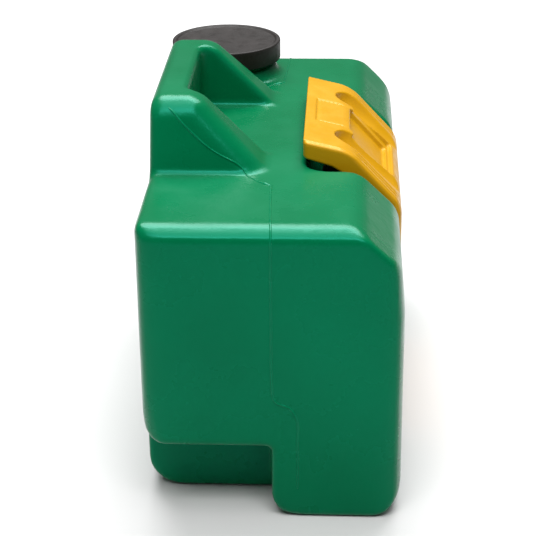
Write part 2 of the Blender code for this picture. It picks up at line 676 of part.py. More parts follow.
# ---------------------------------------------------------------- hose
def hose_route():
    """Centre line: along the hinge line off the barb, round and up to the manifold's inlet."""
    start_x = OUTLET_X + BARB_ROOT + GAP
    inlet_z = PIPE_Z - INLET_ROOT - GAP
    chosen = [
        (start_x, HINGE_Y, HINGE_Z), (start_x + BARB_LENGTH, HINGE_Y, HINGE_Z),
        (start_x + BARB_LENGTH + HOSE_LEAD, HINGE_Y, HINGE_Z),
        (INLET_X - 0.0580, HINGE_Y, HINGE_Z + 0.0035), (INLET_X - 0.0320, HINGE_Y, HINGE_Z + 0.0170),
        (INLET_X - 0.0125, HINGE_Y + 0.0005, HINGE_Z + 0.040),
        (INLET_X - 0.0025, HINGE_Y + 0.002, HINGE_Z + 0.069),
        (INLET_X, HINGE_Y + 0.005, HINGE_Z + 0.102), (INLET_X, HINGE_Y + 0.009, HINGE_Z + 0.137),
        (INLET_X, PIPE_Y, inlet_z - BARB_LENGTH - HOSE_LEAD),
        (INLET_X, PIPE_Y, inlet_z - BARB_LENGTH), (INLET_X, PIPE_Y, inlet_z),
    ]
    points = [Vector(p) for p in chosen]
    line = [points[0]]
    steps = 3
    for i in range(len(points) - 1):
        a = points[max(i - 1, 0)]
        b = points[i]
        c = points[i + 1]
        d = points[min(i + 2, len(points) - 1)]
        for k in range(1, steps + 1):
            t = k / steps
            line.append(0.5 * (2 * b + (c - a) * t + (2 * a - 5 * b + 4 * c - d) * t * t
                               + (3 * b - a - 3 * c + d) * t * t * t))
    return line


def tube_along(name, line, outer, inner, sides):
    """A hollow tube along a line, open at both ends."""
    bm = bmesh.new()
    rings = []
    side = Vector((0, 1, 0))
    for i, point in enumerate(line):
        ahead = line[min(i + 1, len(line) - 1)] - line[max(i - 1, 0)]
        ahead.normalize()
        side = (side - ahead * side.dot(ahead)).normalized()
        up = ahead.cross(side)
        ring = []
        for radius in (outer, inner):
            for k in range(sides):
                angle = 2 * math.pi * (k + 0.5) / sides
                spoke = side * math.cos(angle) + up * math.sin(angle)
                ring.append(bm.verts.new(point + spoke * radius))
        rings.append(ring)
    for near, far in zip(rings, rings[1:]):
        for k in range(sides):
            j = (k + 1) % sides
            bm.faces.new((near[k], near[j], far[j], far[k]))
            bm.faces.new((near[sides + j], near[sides + k], far[sides + k], far[sides + j]))
    for ring in (rings[0], rings[-1]):
        for k in range(sides):
            j = (k + 1) % sides
            bm.faces.new((ring[k], ring[j], ring[sides + j], ring[sides + k]))
    return object_from(bm, name)


def make_clamp(name, centre, along, screw_side, steel):
    """Worm-drive band with its screw housing, as one piece."""
    inner = HOSE_RADIUS + GAP
    outer = inner + CLAMP_THICK
    half = CLAMP_WIDTH / 2
    ring = [(inner, -half), (outer, -half), (outer, half), (inner, half)]
    clamp = turned(name, ring, SMALL_ROUND, centre, along)
    direction = Vector(along)
    housing_mid = Vector(centre) + Vector(screw_side) * (outer + CLAMP_THICK)
    across = direction.cross(Vector(screw_side))
    reach = across * CLAMP_WIDTH / 2
    fuse(clamp, rod("housing", CLAMP_HOUSING, housing_mid - reach, housing_mid + reach, HOUSING_SIDES))
    cut(clamp, rod("hose_room", inner, Vector(centre) - direction * SKIRT,
                   Vector(centre) + direction * SKIRT))
    return finish(clamp, steel)


def make_hose(hose_mat, steel):
    hose = tube_along("supply_hose", hose_route(), HOSE_RADIUS, HOSE_BORE, HOSE_SIDES)
    finish(hose, hose_mat, (OUTLET_X, HINGE_Y, HINGE_Z))
    low_x = OUTLET_X + BARB_ROOT + BARB_LENGTH / 2
    high_z = PIPE_Z - INLET_ROOT - BARB_LENGTH / 2
    make_clamp("hose_clamp_lower", (low_x, HINGE_Y, HINGE_Z), (1, 0, 0), (0, 0, 1), steel)
    make_clamp("hose_clamp_upper", (INLET_X, PIPE_Y, high_z), (0, 0, 1), (0, 1, 0), steel)


# ---------------------------------------------------------------- manifold and spray heads
def make_manifold(plastic):
    pipe = rod("manifold_pipe", PIPE_RADIUS, (-PIPE_HALF, PIPE_Y, PIPE_Z), (PIPE_HALF, PIPE_Y, PIPE_Z))
    barb_top = PIPE_Z - INLET_ROOT
    inlet_low = barb_top - BARB_LENGTH
    fuse(pipe, rod("inlet", HOSE_RADIUS, (INLET_X, PIPE_Y, barb_top), (INLET_X, PIPE_Y, PIPE_Z)))
    fuse(pipe, rod("inlet_barb", BARB_RADIUS, (INLET_X, PIPE_Y, inlet_low), (INLET_X, PIPE_Y, PIPE_Z)))
    bore_half = PIPE_HALF - PIPE_WALL
    bore = rod("pipe_bore", PIPE_BORE, (-bore_half, PIPE_Y, PIPE_Z), (bore_half, PIPE_Y, PIPE_Z))
    fuse(bore, rod("inlet_bore", BARB_BORE, (INLET_X, PIPE_Y, inlet_low - SKIRT),
                   (INLET_X, PIPE_Y, PIPE_Z)))
    for side in (-1, 1):
        x = side * HEAD_X
        fuse(pipe, rod("stub", STUB_RADIUS, (x, PIPE_Y, PIPE_Z), (x, PIPE_Y + STUB_REACH, PIPE_Z)))
        fuse(bore, rod("stub_bore", STUB_BORE, (x, PIPE_Y, PIPE_Z),
                       (x, PIPE_Y + STUB_REACH + SKIRT, PIPE_Z)))
    cut(pipe, bore)
    return finish(pipe, plastic)


def make_spray_head(side_name, side, head_mat, plastic, steel):
    base = (side * HEAD_X, HEAD_BASE_Y, PIPE_Z)
    out = (0, 1, 0)
    disc_low = STUB_SEAT + GAP
    disc_high = disc_low + DISC_THICK
    bore = STUB_RADIUS + GAP
    cup_bore = HEAD_RADIUS - HEAD_WALL
    seat = HEAD_LENGTH - PLATE_THICK - PLATE_SET
    cup = [
        (bore, 0), (HEAD_BASE_RADIUS, 0), (HEAD_BASE_RADIUS, disc_high), (HEAD_RADIUS, HEAD_FLARE),
        (HEAD_RADIUS, HEAD_LENGTH - HEAD_EDGE), (HEAD_RADIUS - HEAD_EDGE, HEAD_LENGTH),
        (cup_bore, HEAD_LENGTH), (cup_bore, seat - GAP), (cup_bore - HEAD_WALL / 2, seat - GAP),
        (cup_bore - HEAD_WALL / 2, HEAD_FLARE + HEAD_WALL), (bore, disc_high + HEAD_WALL),
    ]
    finish(turned("spray_head_" + side_name, cup, HEAD_ROUND, base, out), head_mat)
    orifice = STUB_BORE / 2
    disc_radius = STUB_RADIUS
    ring = [(orifice, disc_low), (disc_radius, disc_low), (disc_radius, disc_high), (orifice, disc_high)]
    finish(turned("flow_disc_" + side_name, ring, SMALL_ROUND, base, out), steel)
    plate_radius = cup_bore - GAP
    face = [(0, seat), (plate_radius, seat), (plate_radius, seat + PLATE_THICK), (0, seat + PLATE_THICK)]
    plate = turned("spray_plate_" + side_name, face, SMALL_ROUND, base, out)
    for i in range(PLATE_HOLES):
        angle = 2 * math.pi * i / PLATE_HOLES
        x = base[0] + PLATE_HOLE_CIRCLE * math.cos(angle)
        z = base[2] + PLATE_HOLE_CIRCLE * math.sin(angle)
        cut(plate, rod("hole", PLATE_HOLE_RADIUS, (x, base[1], z), (x, base[1] + 2 * HEAD_LENGTH, z),
                       HOLE_SIDES))
    finish(plate, plastic)


def saddle_face_y():
    """Front face of a clip's foot, which lies on the arm's pad."""
    return PIPE_Y - PIPE_RADIUS - GAP - SADDLE_THICK


def make_saddle(side_name, side, clip_mat, steel):
    x = side * SADDLE_X
    half = SADDLE_WIDTH / 2
    inner = PIPE_RADIUS + GAP
    ring = [(inner, -half), (inner + SADDLE_THICK, -half), (inner + SADDLE_THICK, half), (inner, half)]
    clip = turned("manifold_clip_" + side_name, ring, SMALL_ROUND, (x, PIPE_Y, PIPE_Z), (1, 0, 0))
    face_y = saddle_face_y()
    fuse(clip, box("foot", (x - half, face_y, PIPE_Z - SADDLE_DROP),
                   (x + half, face_y + SADDLE_THICK, PIPE_Z)))
    screw_z = PIPE_Z - SADDLE_DROP + half
    cut(clip, rod("pipe_room", inner, (x - SKIRT, PIPE_Y, PIPE_Z), (x + SKIRT, PIPE_Y, PIPE_Z)),
        rod("screw_room", SCREW_RADIUS + GAP, (x, face_y - SKIRT, screw_z), (x, face_y + SKIRT, screw_z)))
    finish(clip, clip_mat)
    seat_y = face_y + SADDLE_THICK + GAP
    profile = [
        (0, -SCREW_LENGTH), (SCREW_RADIUS, -SCREW_LENGTH), (SCREW_RADIUS, 0), (SCREW_HEAD_RADIUS, 0),
        (SCREW_HEAD_RADIUS, SCREW_HEAD / 2), (SCREW_RADIUS + SCREW_CROWN, SCREW_HEAD), (0, SCREW_HEAD),
    ]
    screw = turned("clip_screw_" + side_name, profile, TINY_ROUND, (x, seat_y, screw_z), (0, 1, 0))
    finish(screw, steel)


# ---------------------------------------------------------------- arm
def arm_outline():
    """Arm seen from its side, as (y, z), from the top plate's back edge round to the lip."""
    inner_y = ARM_FRONT_Y + ARM_FLANGE
    return [
        (ARM_BACK_Y, ARM_BACK_Z), (ARM_KNEE_Y, ARM_KNEE_Z), (ARM_BROW_Y, ARM_BROW_Z),
        (ARM_FRONT_Y, ARM_BROW_Z - ARM_CORNER), (ARM_FRONT_Y, ARM_FOOT_Z),
        (inner_y - ARM_CORNER, ARM_FOOT_Z), (inner_y, ARM_FOOT_Z + ARM_CORNER), (inner_y, ARM_DEEP_TOP),
        (ARM_KNEE_Y + ARM_LIP_NEAR[0], ARM_KNEE_Z - ARM_LIP_NEAR[1]),
        (ARM_KNEE_Y + ARM_LIP_FAR[0], ARM_KNEE_Z - ARM_LIP_FAR[1]), (ARM_BACK_Y, ARM_BACK_Z - ARM_LIP),
    ]


def arm_hollow():
    """Space inside the arm: open towards the tank and at the foot, as (y, z)."""
    face = offset_outline(arm_outline(), ARM_WALL)
    return [
        face[0], face[1], face[2], face[3], (face[3][0], -SKIRT), (SKIRT * 2, -SKIRT),
        (SKIRT * 2, ARM_DEEP_TOP), (face[0][0], ARM_DEEP_TOP),
    ]


def slope_frame():
    """Knee point, direction down the slope and outward normal, in the YZ plane."""
    knee = Vector((0, ARM_KNEE_Y, ARM_KNEE_Z))
    brow = Vector((0, ARM_BROW_Y, ARM_BROW_Z))
    down = (brow - knee).normalized()
    out = Vector((0, down.z, -down.y))
    return knee, down, out, (brow - knee).length


def scoop_tool(side, grow):
    """Rounded trough that starts behind the knee and runs out at the brow."""
    knee, down, out, length = slope_frame()
    x = Vector((side * SCOOP_X, 0, 0))
    start = knee + x + down * SCOOP_START + out * (SCOOP_RADIUS - SCOOP_DEPTH_TOP)
    end = knee + x + down * length + out * (SCOOP_RADIUS - SCOOP_DEPTH_END)
    end += (end - start) * SCOOP_RUN_OUT
    tool = rod("scoop", SCOOP_RADIUS + grow, start, end)
    return fuse(tool, ball("scoop_end", SCOOP_RADIUS + grow, start))


def panel_tool(grow):
    """Block that sinks the panel between the scoops."""
    knee, down, out, _ = slope_frame()
    corners = []
    for along, height in ((PANEL_START - grow, -PANEL_DEPTH - grow), (PANEL_END + grow, -PANEL_DEPTH - grow),
                          (PANEL_END + grow, SKIRT), (PANEL_START - grow, SKIRT)):
        point = knee + down * along + out * height
        corners.append((point.y, point.z))
    half = PANEL_HALF + grow
    return prism("panel", corners, "X", -half, half)


def make_arm(mat):
    arm = prism("arm_shell", arm_outline(), "X", -ARM_HALF, ARM_HALF)
    solid = prism("arm_solid", offset_outline(arm_outline(), ARM_WALL / 2), "X", -ARM_HALF, ARM_HALF)
    half_in = ARM_HALF - ARM_WALL
    cut(arm, prism("hollow", arm_hollow(), "X", -half_in, half_in))
    skins = [scoop_tool(side, ARM_WALL) for side in (-1, 1)]
    skins.append(panel_tool(ARM_WALL))
    screw_z = PIPE_Z - SADDLE_DROP + SADDLE_WIDTH / 2
    pad_face = saddle_face_y() - GAP
    for side in (-1, 1):
        x = side * SADDLE_X
        pad = SADDLE_WIDTH / 2 + ARM_WALL / 2
        skins.append(box("pad", (x - pad, ARM_FRONT_Y, screw_z - pad), (x + pad, pad_face, screw_z + pad)))
    for skin in skins:
        inside = solid.copy()
        inside.data = solid.data.copy()
        bpy.context.collection.objects.link(inside)
        fuse(arm, common(skin, inside))
    bpy.data.objects.remove(solid, do_unlink=True)
    cut(arm, scoop_tool(-1, 0), scoop_tool(1, 0), panel_tool(0))
    for side in (-1, 1):
        x = side * SADDLE_X
        cut(arm, rod("pilot", SCREW_RADIUS + GAP, (x, pad_face - SCREW_LENGTH, screw_z),
                     (x, pad_face + SKIRT, screw_z), TINY_ROUND))
        lug_x = (side * (ARM_HALF - ARM_WALL / 2), side * (CHANNEL_HALF - LUG_GAP))
        lug_y = HINGE_Y + STOP_BACK
        lug_z = HINGE_Z + STOP_UP
        fuse(arm, rod("lug", STOP_RADIUS, (lug_x[0], lug_y, lug_z), (lug_x[1], lug_y, lug_z), TINY_ROUND))
        pin_x = (side * (ARM_HALF - SKIRT), side * (ARM_HALF + SKIRT))
        cut(arm, rod("pin_hole", PIN_RADIUS + GAP, (pin_x[0], HINGE_Y, HINGE_Z),
                     (pin_x[1], HINGE_Y, HINGE_Z)))
    return finish(arm, mat, (0, HINGE_Y, HINGE_Z))


# ---------------------------------------------------------------- hinge
def make_hinge(side_name, side, steel, plastic):
    out = (side, 0, 0)
    inner_face = ARM_HALF - ARM_WALL
    head_x = inner_face - GAP - PIN_HEAD
    tip_x = CHANNEL_HALF + PIN_REACH
    edge = PIN_HEAD / 4
    profile = [
        (0, head_x), (PIN_HEAD_RADIUS - edge, head_x), (PIN_HEAD_RADIUS, head_x + edge),
        (PIN_HEAD_RADIUS, head_x + PIN_HEAD), (PIN_RADIUS, head_x + PIN_HEAD), (PIN_RADIUS, tip_x - edge),
        (PIN_RADIUS - edge, tip_x), (0, tip_x),
    ]
    line = (0, HINGE_Y, HINGE_Z)
    finish(turned("hinge_pin_" + side_name, profile, SMALL_ROUND, line, out), steel, line)
    mouth = CHANNEL_HALF - GAP
    sleeve_end = tip_x
    bush = [
        (BUSH_BORE, mouth - BUSH_FLANGE), (BUSH_FLANGE_RADIUS, mouth - BUSH_FLANGE),
        (BUSH_FLANGE_RADIUS, mouth), (BUSH_RADIUS, mouth), (BUSH_RADIUS, sleeve_end), (BUSH_BORE, sleeve_end),
    ]
    finish(turned("hinge_bush_" + side_name, bush, SMALL_ROUND, line, out), plastic, line)
    clip_x = ARM_HALF + GAP
    ring = [
        (PIN_RADIUS + GAP, clip_x), (PIN_HEAD_RADIUS, clip_x), (PIN_HEAD_RADIUS, clip_x + CLIP_THICK),
        (PIN_RADIUS + GAP, clip_x + CLIP_THICK),
    ]
    finish(turned("pin_clip_" + side_name, ring, SMALL_ROUND, line, out), steel, line)


# ---------------------------------------------------------------- whole station
def build():
    clear_scene()
    green = material("tank_green", (0.0, 0.16, 0.065), 0.28)
    yellow = material("arm_yellow", (0.76, 0.41, 0.005), 0.36)
    black = material("cap_black", (0.02, 0.018, 0.017), 0.45)
    rubber = material("rubber_black", (0.03, 0.03, 0.03), 0.8)
    white = material("fitting_white", (0.75, 0.75, 0.72), 0.4)
    hose_mat = material("hose_clear_grey", (0.45, 0.43, 0.38), 0.35)
    steel = material("stainless", (0.62, 0.62, 0.60), 0.3, 1.0)
    make_tank(green)
    make_cap(black, rubber)
    make_outlet(white, rubber)
    make_hose(hose_mat, steel)
    make_manifold(white)
    make_arm(yellow)
    for side_name, side in (("left", -1), ("right", 1)):
        make_spray_head(side_name, side, black, white, steel)
        make_saddle(side_name, side, black, steel)
        make_hinge(side_name, side, steel, white)


build()
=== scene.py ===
"""Looks of a portable eyewash station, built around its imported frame.

Metres, in the frame's own axes: +X along the tank, -Y the front where the arm opens,
+Z up. The moulded pieces are signed distance fields (negative inside), so that every
edge has its own radius, and a surface net turns each field into a closed mesh.
"""
import functools
import json
import math

import bmesh
import bpy
import numpy as np
from mathutils import Matrix, Vector


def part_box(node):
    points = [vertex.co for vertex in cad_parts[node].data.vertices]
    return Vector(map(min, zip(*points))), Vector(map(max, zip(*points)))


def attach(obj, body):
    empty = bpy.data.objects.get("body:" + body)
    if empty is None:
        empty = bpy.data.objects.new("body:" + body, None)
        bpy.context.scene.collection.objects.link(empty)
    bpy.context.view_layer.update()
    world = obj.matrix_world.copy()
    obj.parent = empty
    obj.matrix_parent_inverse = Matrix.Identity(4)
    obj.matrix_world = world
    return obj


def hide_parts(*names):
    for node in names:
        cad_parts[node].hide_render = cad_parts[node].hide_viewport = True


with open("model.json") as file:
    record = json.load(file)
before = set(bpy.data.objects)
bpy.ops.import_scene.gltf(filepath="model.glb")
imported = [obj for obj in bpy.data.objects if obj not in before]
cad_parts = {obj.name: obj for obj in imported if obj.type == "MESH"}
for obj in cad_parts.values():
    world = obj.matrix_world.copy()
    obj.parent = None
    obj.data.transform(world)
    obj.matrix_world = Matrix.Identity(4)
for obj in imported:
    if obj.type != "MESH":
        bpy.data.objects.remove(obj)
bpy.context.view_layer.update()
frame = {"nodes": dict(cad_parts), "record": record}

# ---------------------------------------------------------------- sizes from the frame
TANK_LOW, TANK_HIGH = [Vector(corner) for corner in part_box("tank_shell")]
ARM_LOW, ARM_HIGH = [Vector(corner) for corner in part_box("arm_shell")]
CAP_LOW, CAP_HIGH = [Vector(corner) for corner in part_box("fill_cap")]
JOINTS = {joint["name"]: joint for joint in frame["record"]["behaviour"]["joints"]}
HINGE = Vector(JOINTS["arm_hinge"]["pos_m"])

HALF_W = TANK_HIGH.x
BACK_Y = TANK_HIGH.y
FRONT_Y = TANK_LOW.y
HANDLE_TOP = TANK_HIGH.z
TOP = HANDLE_TOP - 0.066        # the tank's flat top
WALL = 0.004
NECK_X = (CAP_LOW.x + CAP_HIGH.x) / 2
NECK_Y = (CAP_LOW.y + CAP_HIGH.y) / 2
CAP_RADIUS = (CAP_HIGH.x - CAP_LOW.x) / 2
NECK_RADIUS = CAP_RADIUS - 0.010
NECK_TOP = TOP + 0.031

GAP = 0.0003                    # clearance between pieces that fit together
PIN_RADIUS = 0.005              # hinge pin, and the bush that it turns in
BUSH_RADIUS = 0.008
STEM_RADIUS = 0.010             # outlet's stem through the channel's back wall
PIPE_RADIUS = 0.009
PIPE_BORE = 0.006

TANK_CELL = 0.0025              # grid steps of the surface nets
ARM_CELL = 0.0014
FINE_CELL = 0.0006
SIDES = (("left", -1), ("right", 1))


# ---------------------------------------------------------------- distance fields
def round_max(a, b, radius):
    """Intersection whose convex edge has this radius."""
    beyond_a = np.maximum(a + radius, 0)
    beyond_b = np.maximum(b + radius, 0)
    return np.minimum(-radius, np.maximum(a, b)) + np.sqrt(beyond_a ** 2 + beyond_b ** 2)


def round_min(a, b, radius):
    """Union whose concave edge has this radius."""
    return -round_max(-a, -b, radius)


def cut_by(solid, tool, radius):
    """Difference whose new edge has this radius."""
    return round_max(solid, -tool, radius)


def both(*fields):
    """Plain intersection."""
    return functools.reduce(np.maximum, fields)


def either(*fields):
    """Plain union."""
    return functools.reduce(np.minimum, fields)


def length(*parts):
    """Length of a vector from its components."""
    return np.sqrt(sum(part ** 2 for part in parts))


def slab(value, low, high):
    """Between two values."""
    return np.abs(value - (low + high) / 2) - (high - low) / 2


def block(x, y, z, low, high, radius):
    """Box with rounded edges."""
    across = round_max(slab(x, low[0], high[0]), slab(y, low[1], high[1]), radius)
    return round_max(across, slab(z, low[2], high[2]), radius)


def line_2d(u, v, start, end):
    """Distance to the line through two points, negative on its left."""
    du = end[0] - start[0]
    dv = end[1] - start[1]
    return ((u - start[0]) * dv - (v - start[1]) * du) / math.hypot(du, dv)


def capsule(x, y, z, start, end, radius):
    """Round-ended rod between two points."""
    along = Vector(end) - Vector(start)
    share = ((x - start[0]) * along.x + (y - start[1]) * along.y + (z - start[2]) * along.z)
    share = np.clip(share / along.length_squared, 0, 1)
    dx = x - start[0] - share * along.x
    dy = y - start[1] - share * along.y
    dz = z - start[2] - share * along.z
    return length(dx, dy, dz) - radius


def polygon(u, v, outline):
    """Exact distance to a closed outline, negative inside."""
    u, v = np.broadcast_arrays(u, v)
    nearest = np.full(u.shape, np.inf)
    inside = np.zeros(u.shape, bool)
    for (au, av), (bu, bv) in zip(outline, outline[1:] + outline[:1]):
        du = bu - au
        dv = bv - av
        share = np.clip(((u - au) * du + (v - av) * dv) / (du * du + dv * dv), 0, 1)
        nearest = np.minimum(nearest, (u - au - share * du) ** 2 + (v - av - share * dv) ** 2)
        if dv:
            crosses = (v >= av) != (v >= bv)
            inside ^= crosses & (u < au + (v - av) * du / dv)
    return np.where(inside, -1.0, 1.0) * np.sqrt(nearest)


def rounded(corners, steps=6):
    """Outline from (u, v, radius) corners, each with its own fillet."""
    outline = []
    for i, (u, v, radius) in enumerate(corners):
        here = Vector((u, v))
        if not radius:
            outline.append((u, v))
            continue
        back = (Vector(corners[i - 1][:2]) - here).normalized()
        ahead = (Vector(corners[(i + 1) % len(corners)][:2]) - here).normalized()
        half = back.angle(ahead) / 2
        centre = here + (back + ahead).normalized() * radius / math.sin(half)
        first = here + back * radius / math.tan(half) - centre
        last = here + ahead * radius / math.tan(half) - centre
        sweep = math.atan2(first.x * last.y - first.y * last.x, first.dot(last))
        for k in range(steps + 1):
            turn = sweep * k / steps
            outline.append((centre.x + first.x * math.cos(turn) - first.y * math.sin(turn),
                            centre.y + first.x * math.sin(turn) + first.y * math.cos(turn)))
    return outline


def edge_crossings(values, cells):
    """Mean of the places where the surface crosses each cell's edges."""
    corner = np.array([(i, j, k) for i in (0, 1) for j in (0, 1) for k in (0, 1)])
    at = [values[tuple((cells + c).T)] for c in corner]
    total = np.zeros(cells.shape)
    count = np.zeros(len(cells))
    for a in range(8):
        for b in range(a + 1, 8):
            if np.abs(corner[a] - corner[b]).sum() != 1:
                continue
            crossed = (at[a] < 0) != (at[b] < 0)
            share = at[a][crossed] / (at[a][crossed] - at[b][crossed])
            step = corner[b] - corner[a]
            total[crossed] += cells[crossed] + corner[a] + share[:, None] * step
            count[crossed] += 1
    return total / count[:, None]


def even_grid(low, high, cell):
    """Grid lines along each axis, which run past both corners."""
    return [np.arange(low[a] - 2 * cell, high[a] + 3 * cell, cell) for a in range(3)]


def net(name, field, grid):
    """Closed quad mesh of a field's zero surface, by naive surface nets."""
    sizes = [len(line) for line in grid]
    values = np.broadcast_to(field(*np.ix_(*grid)), tuple(sizes)).astype(np.float64)
    inside = values < 0
    corners = sum(inside[i:sizes[0] - 1 + i, j:sizes[1] - 1 + j, k:sizes[2] - 1 + k].astype(np.int8)
                  for i in (0, 1) for j in (0, 1) for k in (0, 1))
    cells = np.argwhere((corners > 0) & (corners < 8))
    number = np.full(corners.shape, -1, np.int64)
    number[tuple(cells.T)] = np.arange(len(cells))
    steps = edge_crossings(values, cells)
    points = np.stack([np.interp(steps[:, a], np.arange(sizes[a]), grid[a]) for a in range(3)], 1)
    faces = []
    for axis in range(3):
        side, up = [(1, 2), (2, 0), (0, 1)][axis]
        near = np.take(inside, range(sizes[axis] - 1), axis)
        far = np.take(inside, range(1, sizes[axis]), axis)
        edges = np.argwhere(near != far)
        edges = edges[(edges[:, side] > 0) & (edges[:, up] > 0)]
        edges = edges[(edges[:, side] < sizes[side] - 1) & (edges[:, up] < sizes[up] - 1)]
        ring = []
        for ds, du in ((1, 1), (0, 1), (0, 0), (1, 0)):
            place = edges.copy()
            place[:, side] -= ds
            place[:, up] -= du
            ring.append(number[tuple(place.T)])
        quads = np.stack(ring, 1)
        flip = ~near[tuple(edges.T)]
        quads[flip] = quads[flip][:, ::-1]
        faces.append(quads)
    return mesh_object(name, points, np.concatenate(faces))


def mesh_object(name, points, quads):
    """Smooth object from arrays of points and quads."""
    mesh = bpy.data.meshes.new(name)
    mesh.vertices.add(len(points))
    mesh.vertices.foreach_set("co", np.asarray(points, np.float32).ravel())
    mesh.loops.add(quads.size)
    mesh.loops.foreach_set("vertex_index", quads.astype(np.int32).ravel())
    mesh.polygons.add(len(quads))
    mesh.polygons.foreach_set("loop_start", np.arange(0, quads.size, quads.shape[1], dtype=np.int32))
    mesh.update(calc_edges=True)
    mesh.validate()
    mesh.shade_smooth()
    return link(name, mesh)


def link(name, mesh):
    """Object in the scene for a mesh."""
    obj = bpy.data.objects.new(name, mesh)
    bpy.context.collection.objects.link(obj)
    return obj


def built_object(name, bm, sharp_angle=None):
    """Smooth object from a bmesh, with edges over an angle in degrees kept sharp."""
    mesh = bpy.data.meshes.new(name)
    bm.to_mesh(mesh)
    bm.free()
    mesh.shade_smooth()
    if sharp_angle is not None:
        mesh.set_sharp_from_angle(angle=math.radians(sharp_angle))
    return link(name, mesh)


def closed_skin(bm, rings):
    """Quads between each closed ring of vertices and the next, and a face at both ends."""
    for near, far in zip(rings, rings[1:]):
        for i in range(len(near)):
            j = (i + 1) % len(near)
            bm.faces.new((near[i], near[j], far[j], far[i]))
    bm.faces.new(list(reversed(rings[0])))
    bm.faces.new(rings[-1])


# ---------------------------------------------------------------- turned pieces
def lathe(name, outline, sides=96, base=(0, 0, 0), along=(0, 0, 1)):
    """Spin a closed outline of (radius, height) points about an axis."""
    bm = bmesh.new()
    rings = []
    for radius, height in outline:
        if radius < 1e-7:
            rings.append([bm.verts.new((0, 0, height))] * sides)
            continue
        ring = []
        for i in range(sides):
            angle = 2 * math.pi * i / sides
            ring.append(bm.verts.new((radius * math.cos(angle), radius * math.sin(angle), height)))
        rings.append(ring)
    for lower, upper in zip(rings, rings[1:] + rings[:1]):
        for i in range(sides):
            j = (i + 1) % sides
            face = list(dict.fromkeys((lower[i], lower[j], upper[j], upper[i])))
            if len(face) > 2:
                bm.faces.new(face)
    bmesh.ops.recalc_face_normals(bm, faces=bm.faces)
    turn = Vector((0, 0, 1)).rotation_difference(Vector(along)).to_matrix().to_4x4()
    bmesh.ops.transform(bm, matrix=Matrix.Translation(base) @ turn, verts=bm.verts)
    return built_object(name, bm, 40)


def rod(name, radius, start, end, sides=64):
    """Plain cylinder between two points."""
    along = Vector(end) - Vector(start)
    outline = [(0, 0), (radius, 0), (radius, along.length), (0, along.length)]
    return lathe(name, outline, sides, start, along.normalized())


def apply_boolean(obj, tool, operation):
    """Join or cut with another object, which is used up."""
    modifier = obj.modifiers.new("boolean", "BOOLEAN")
    modifier.operation = operation
    modifier.solver = "MANIFOLD"
    modifier.object = tool
    graph = bpy.context.evaluated_depsgraph_get()
    mesh = bpy.data.meshes.new_from_object(obj.evaluated_get(graph))
    obj.modifiers.clear()
    obj.data = mesh
    bpy.data.objects.remove(tool, do_unlink=True)


def place(obj, body, slot, *nodes):
    """Give a piece its finish and its body, and hide the nodes it stands for."""
    obj.data.materials.clear()
    obj.data.materials.append(FINISH[slot])
    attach(obj, body)
    if nodes:
        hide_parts(*nodes)
    return obj


# ---------------------------------------------------------------- materials
def new_material(name, colour, roughness, **constants):
    """Principled material, with constants for other sockets by name."""
    mat = bpy.data.materials.new(name)
    mat.use_nodes = True
    shader = mat.node_tree.nodes["Principled BSDF"]
    preset(shader, Base_Color=(*colour, 1), Roughness=roughness, **constants)
    return mat, shader


def preset(node, **values):
    """Constants for a node's inputs, by name."""
    for name, value in values.items():
        node.inputs[name.replace("_", " ")].default_value = value
    return node


def add_node(mat, kind, **values):
    """Shader node with constants on its inputs."""
    return preset(mat.node_tree.nodes.new(kind), **values)


def finish(mat, shader, colour, roughness, normal):
    """Feed a material's uneven colour and gloss and its relief to the shader."""
    for socket, source in (("Base Color", colour), ("Roughness", roughness), ("Normal", normal)):
        mat.node_tree.links.new(source, shader.inputs[socket])
    return mat


def noise(mat, scale, detail=2.0, rough=0.5, stretch=None):
    """A noise in the object's own coordinates, so that it stays put as the piece moves."""
    links = mat.node_tree.links
    where = add_node(mat, "ShaderNodeTexCoord")
    node = add_node(mat, "ShaderNodeTexNoise", Scale=scale, Detail=detail, Roughness=rough)
    source = where.outputs["Object"]
    if stretch is not None:
        mapping = add_node(mat, "ShaderNodeMapping", Scale=stretch)
        links.new(source, mapping.inputs["Vector"])
        source = mapping.outputs["Vector"]
    links.new(source, node.inputs["Vector"])
    return node.outputs["Fac"]


def spread(mat, factor, from_range, to_range):
    """A factor mapped from one range to another, and clamped."""
    node = add_node(mat, "ShaderNodeMapRange", From_Min=from_range[0], From_Max=from_range[1],
                    To_Min=to_range[0], To_Max=to_range[1])
    mat.node_tree.links.new(factor, node.inputs["Value"])
    return node.outputs["Result"]


def mix_colours(mat, factor, first, second):
    """Two colours, or a colour socket and a colour, mixed by a factor."""
    node = add_node(mat, "ShaderNodeMix")
    node.data_type = "RGBA"
    mat.node_tree.links.new(factor, node.inputs["Factor"])
    for socket, value in ((node.inputs["A"], first), (node.inputs["B"], second)):
        if isinstance(value, tuple):
            socket.default_value = (*value, 1)
        else:
            mat.node_tree.links.new(value, socket)
    return node.outputs["Result"]


def bump(mat, height, depth, normal=None):
    """Surface relief of this depth in metres, over another relief if one is given."""
    node = add_node(mat, "ShaderNodeBump", Strength=1.0, Distance=depth)
    mat.node_tree.links.new(height, node.inputs["Height"])
    if normal is not None:
        mat.node_tree.links.new(normal, node.inputs["Normal"])
    return node.outputs["Normal"]


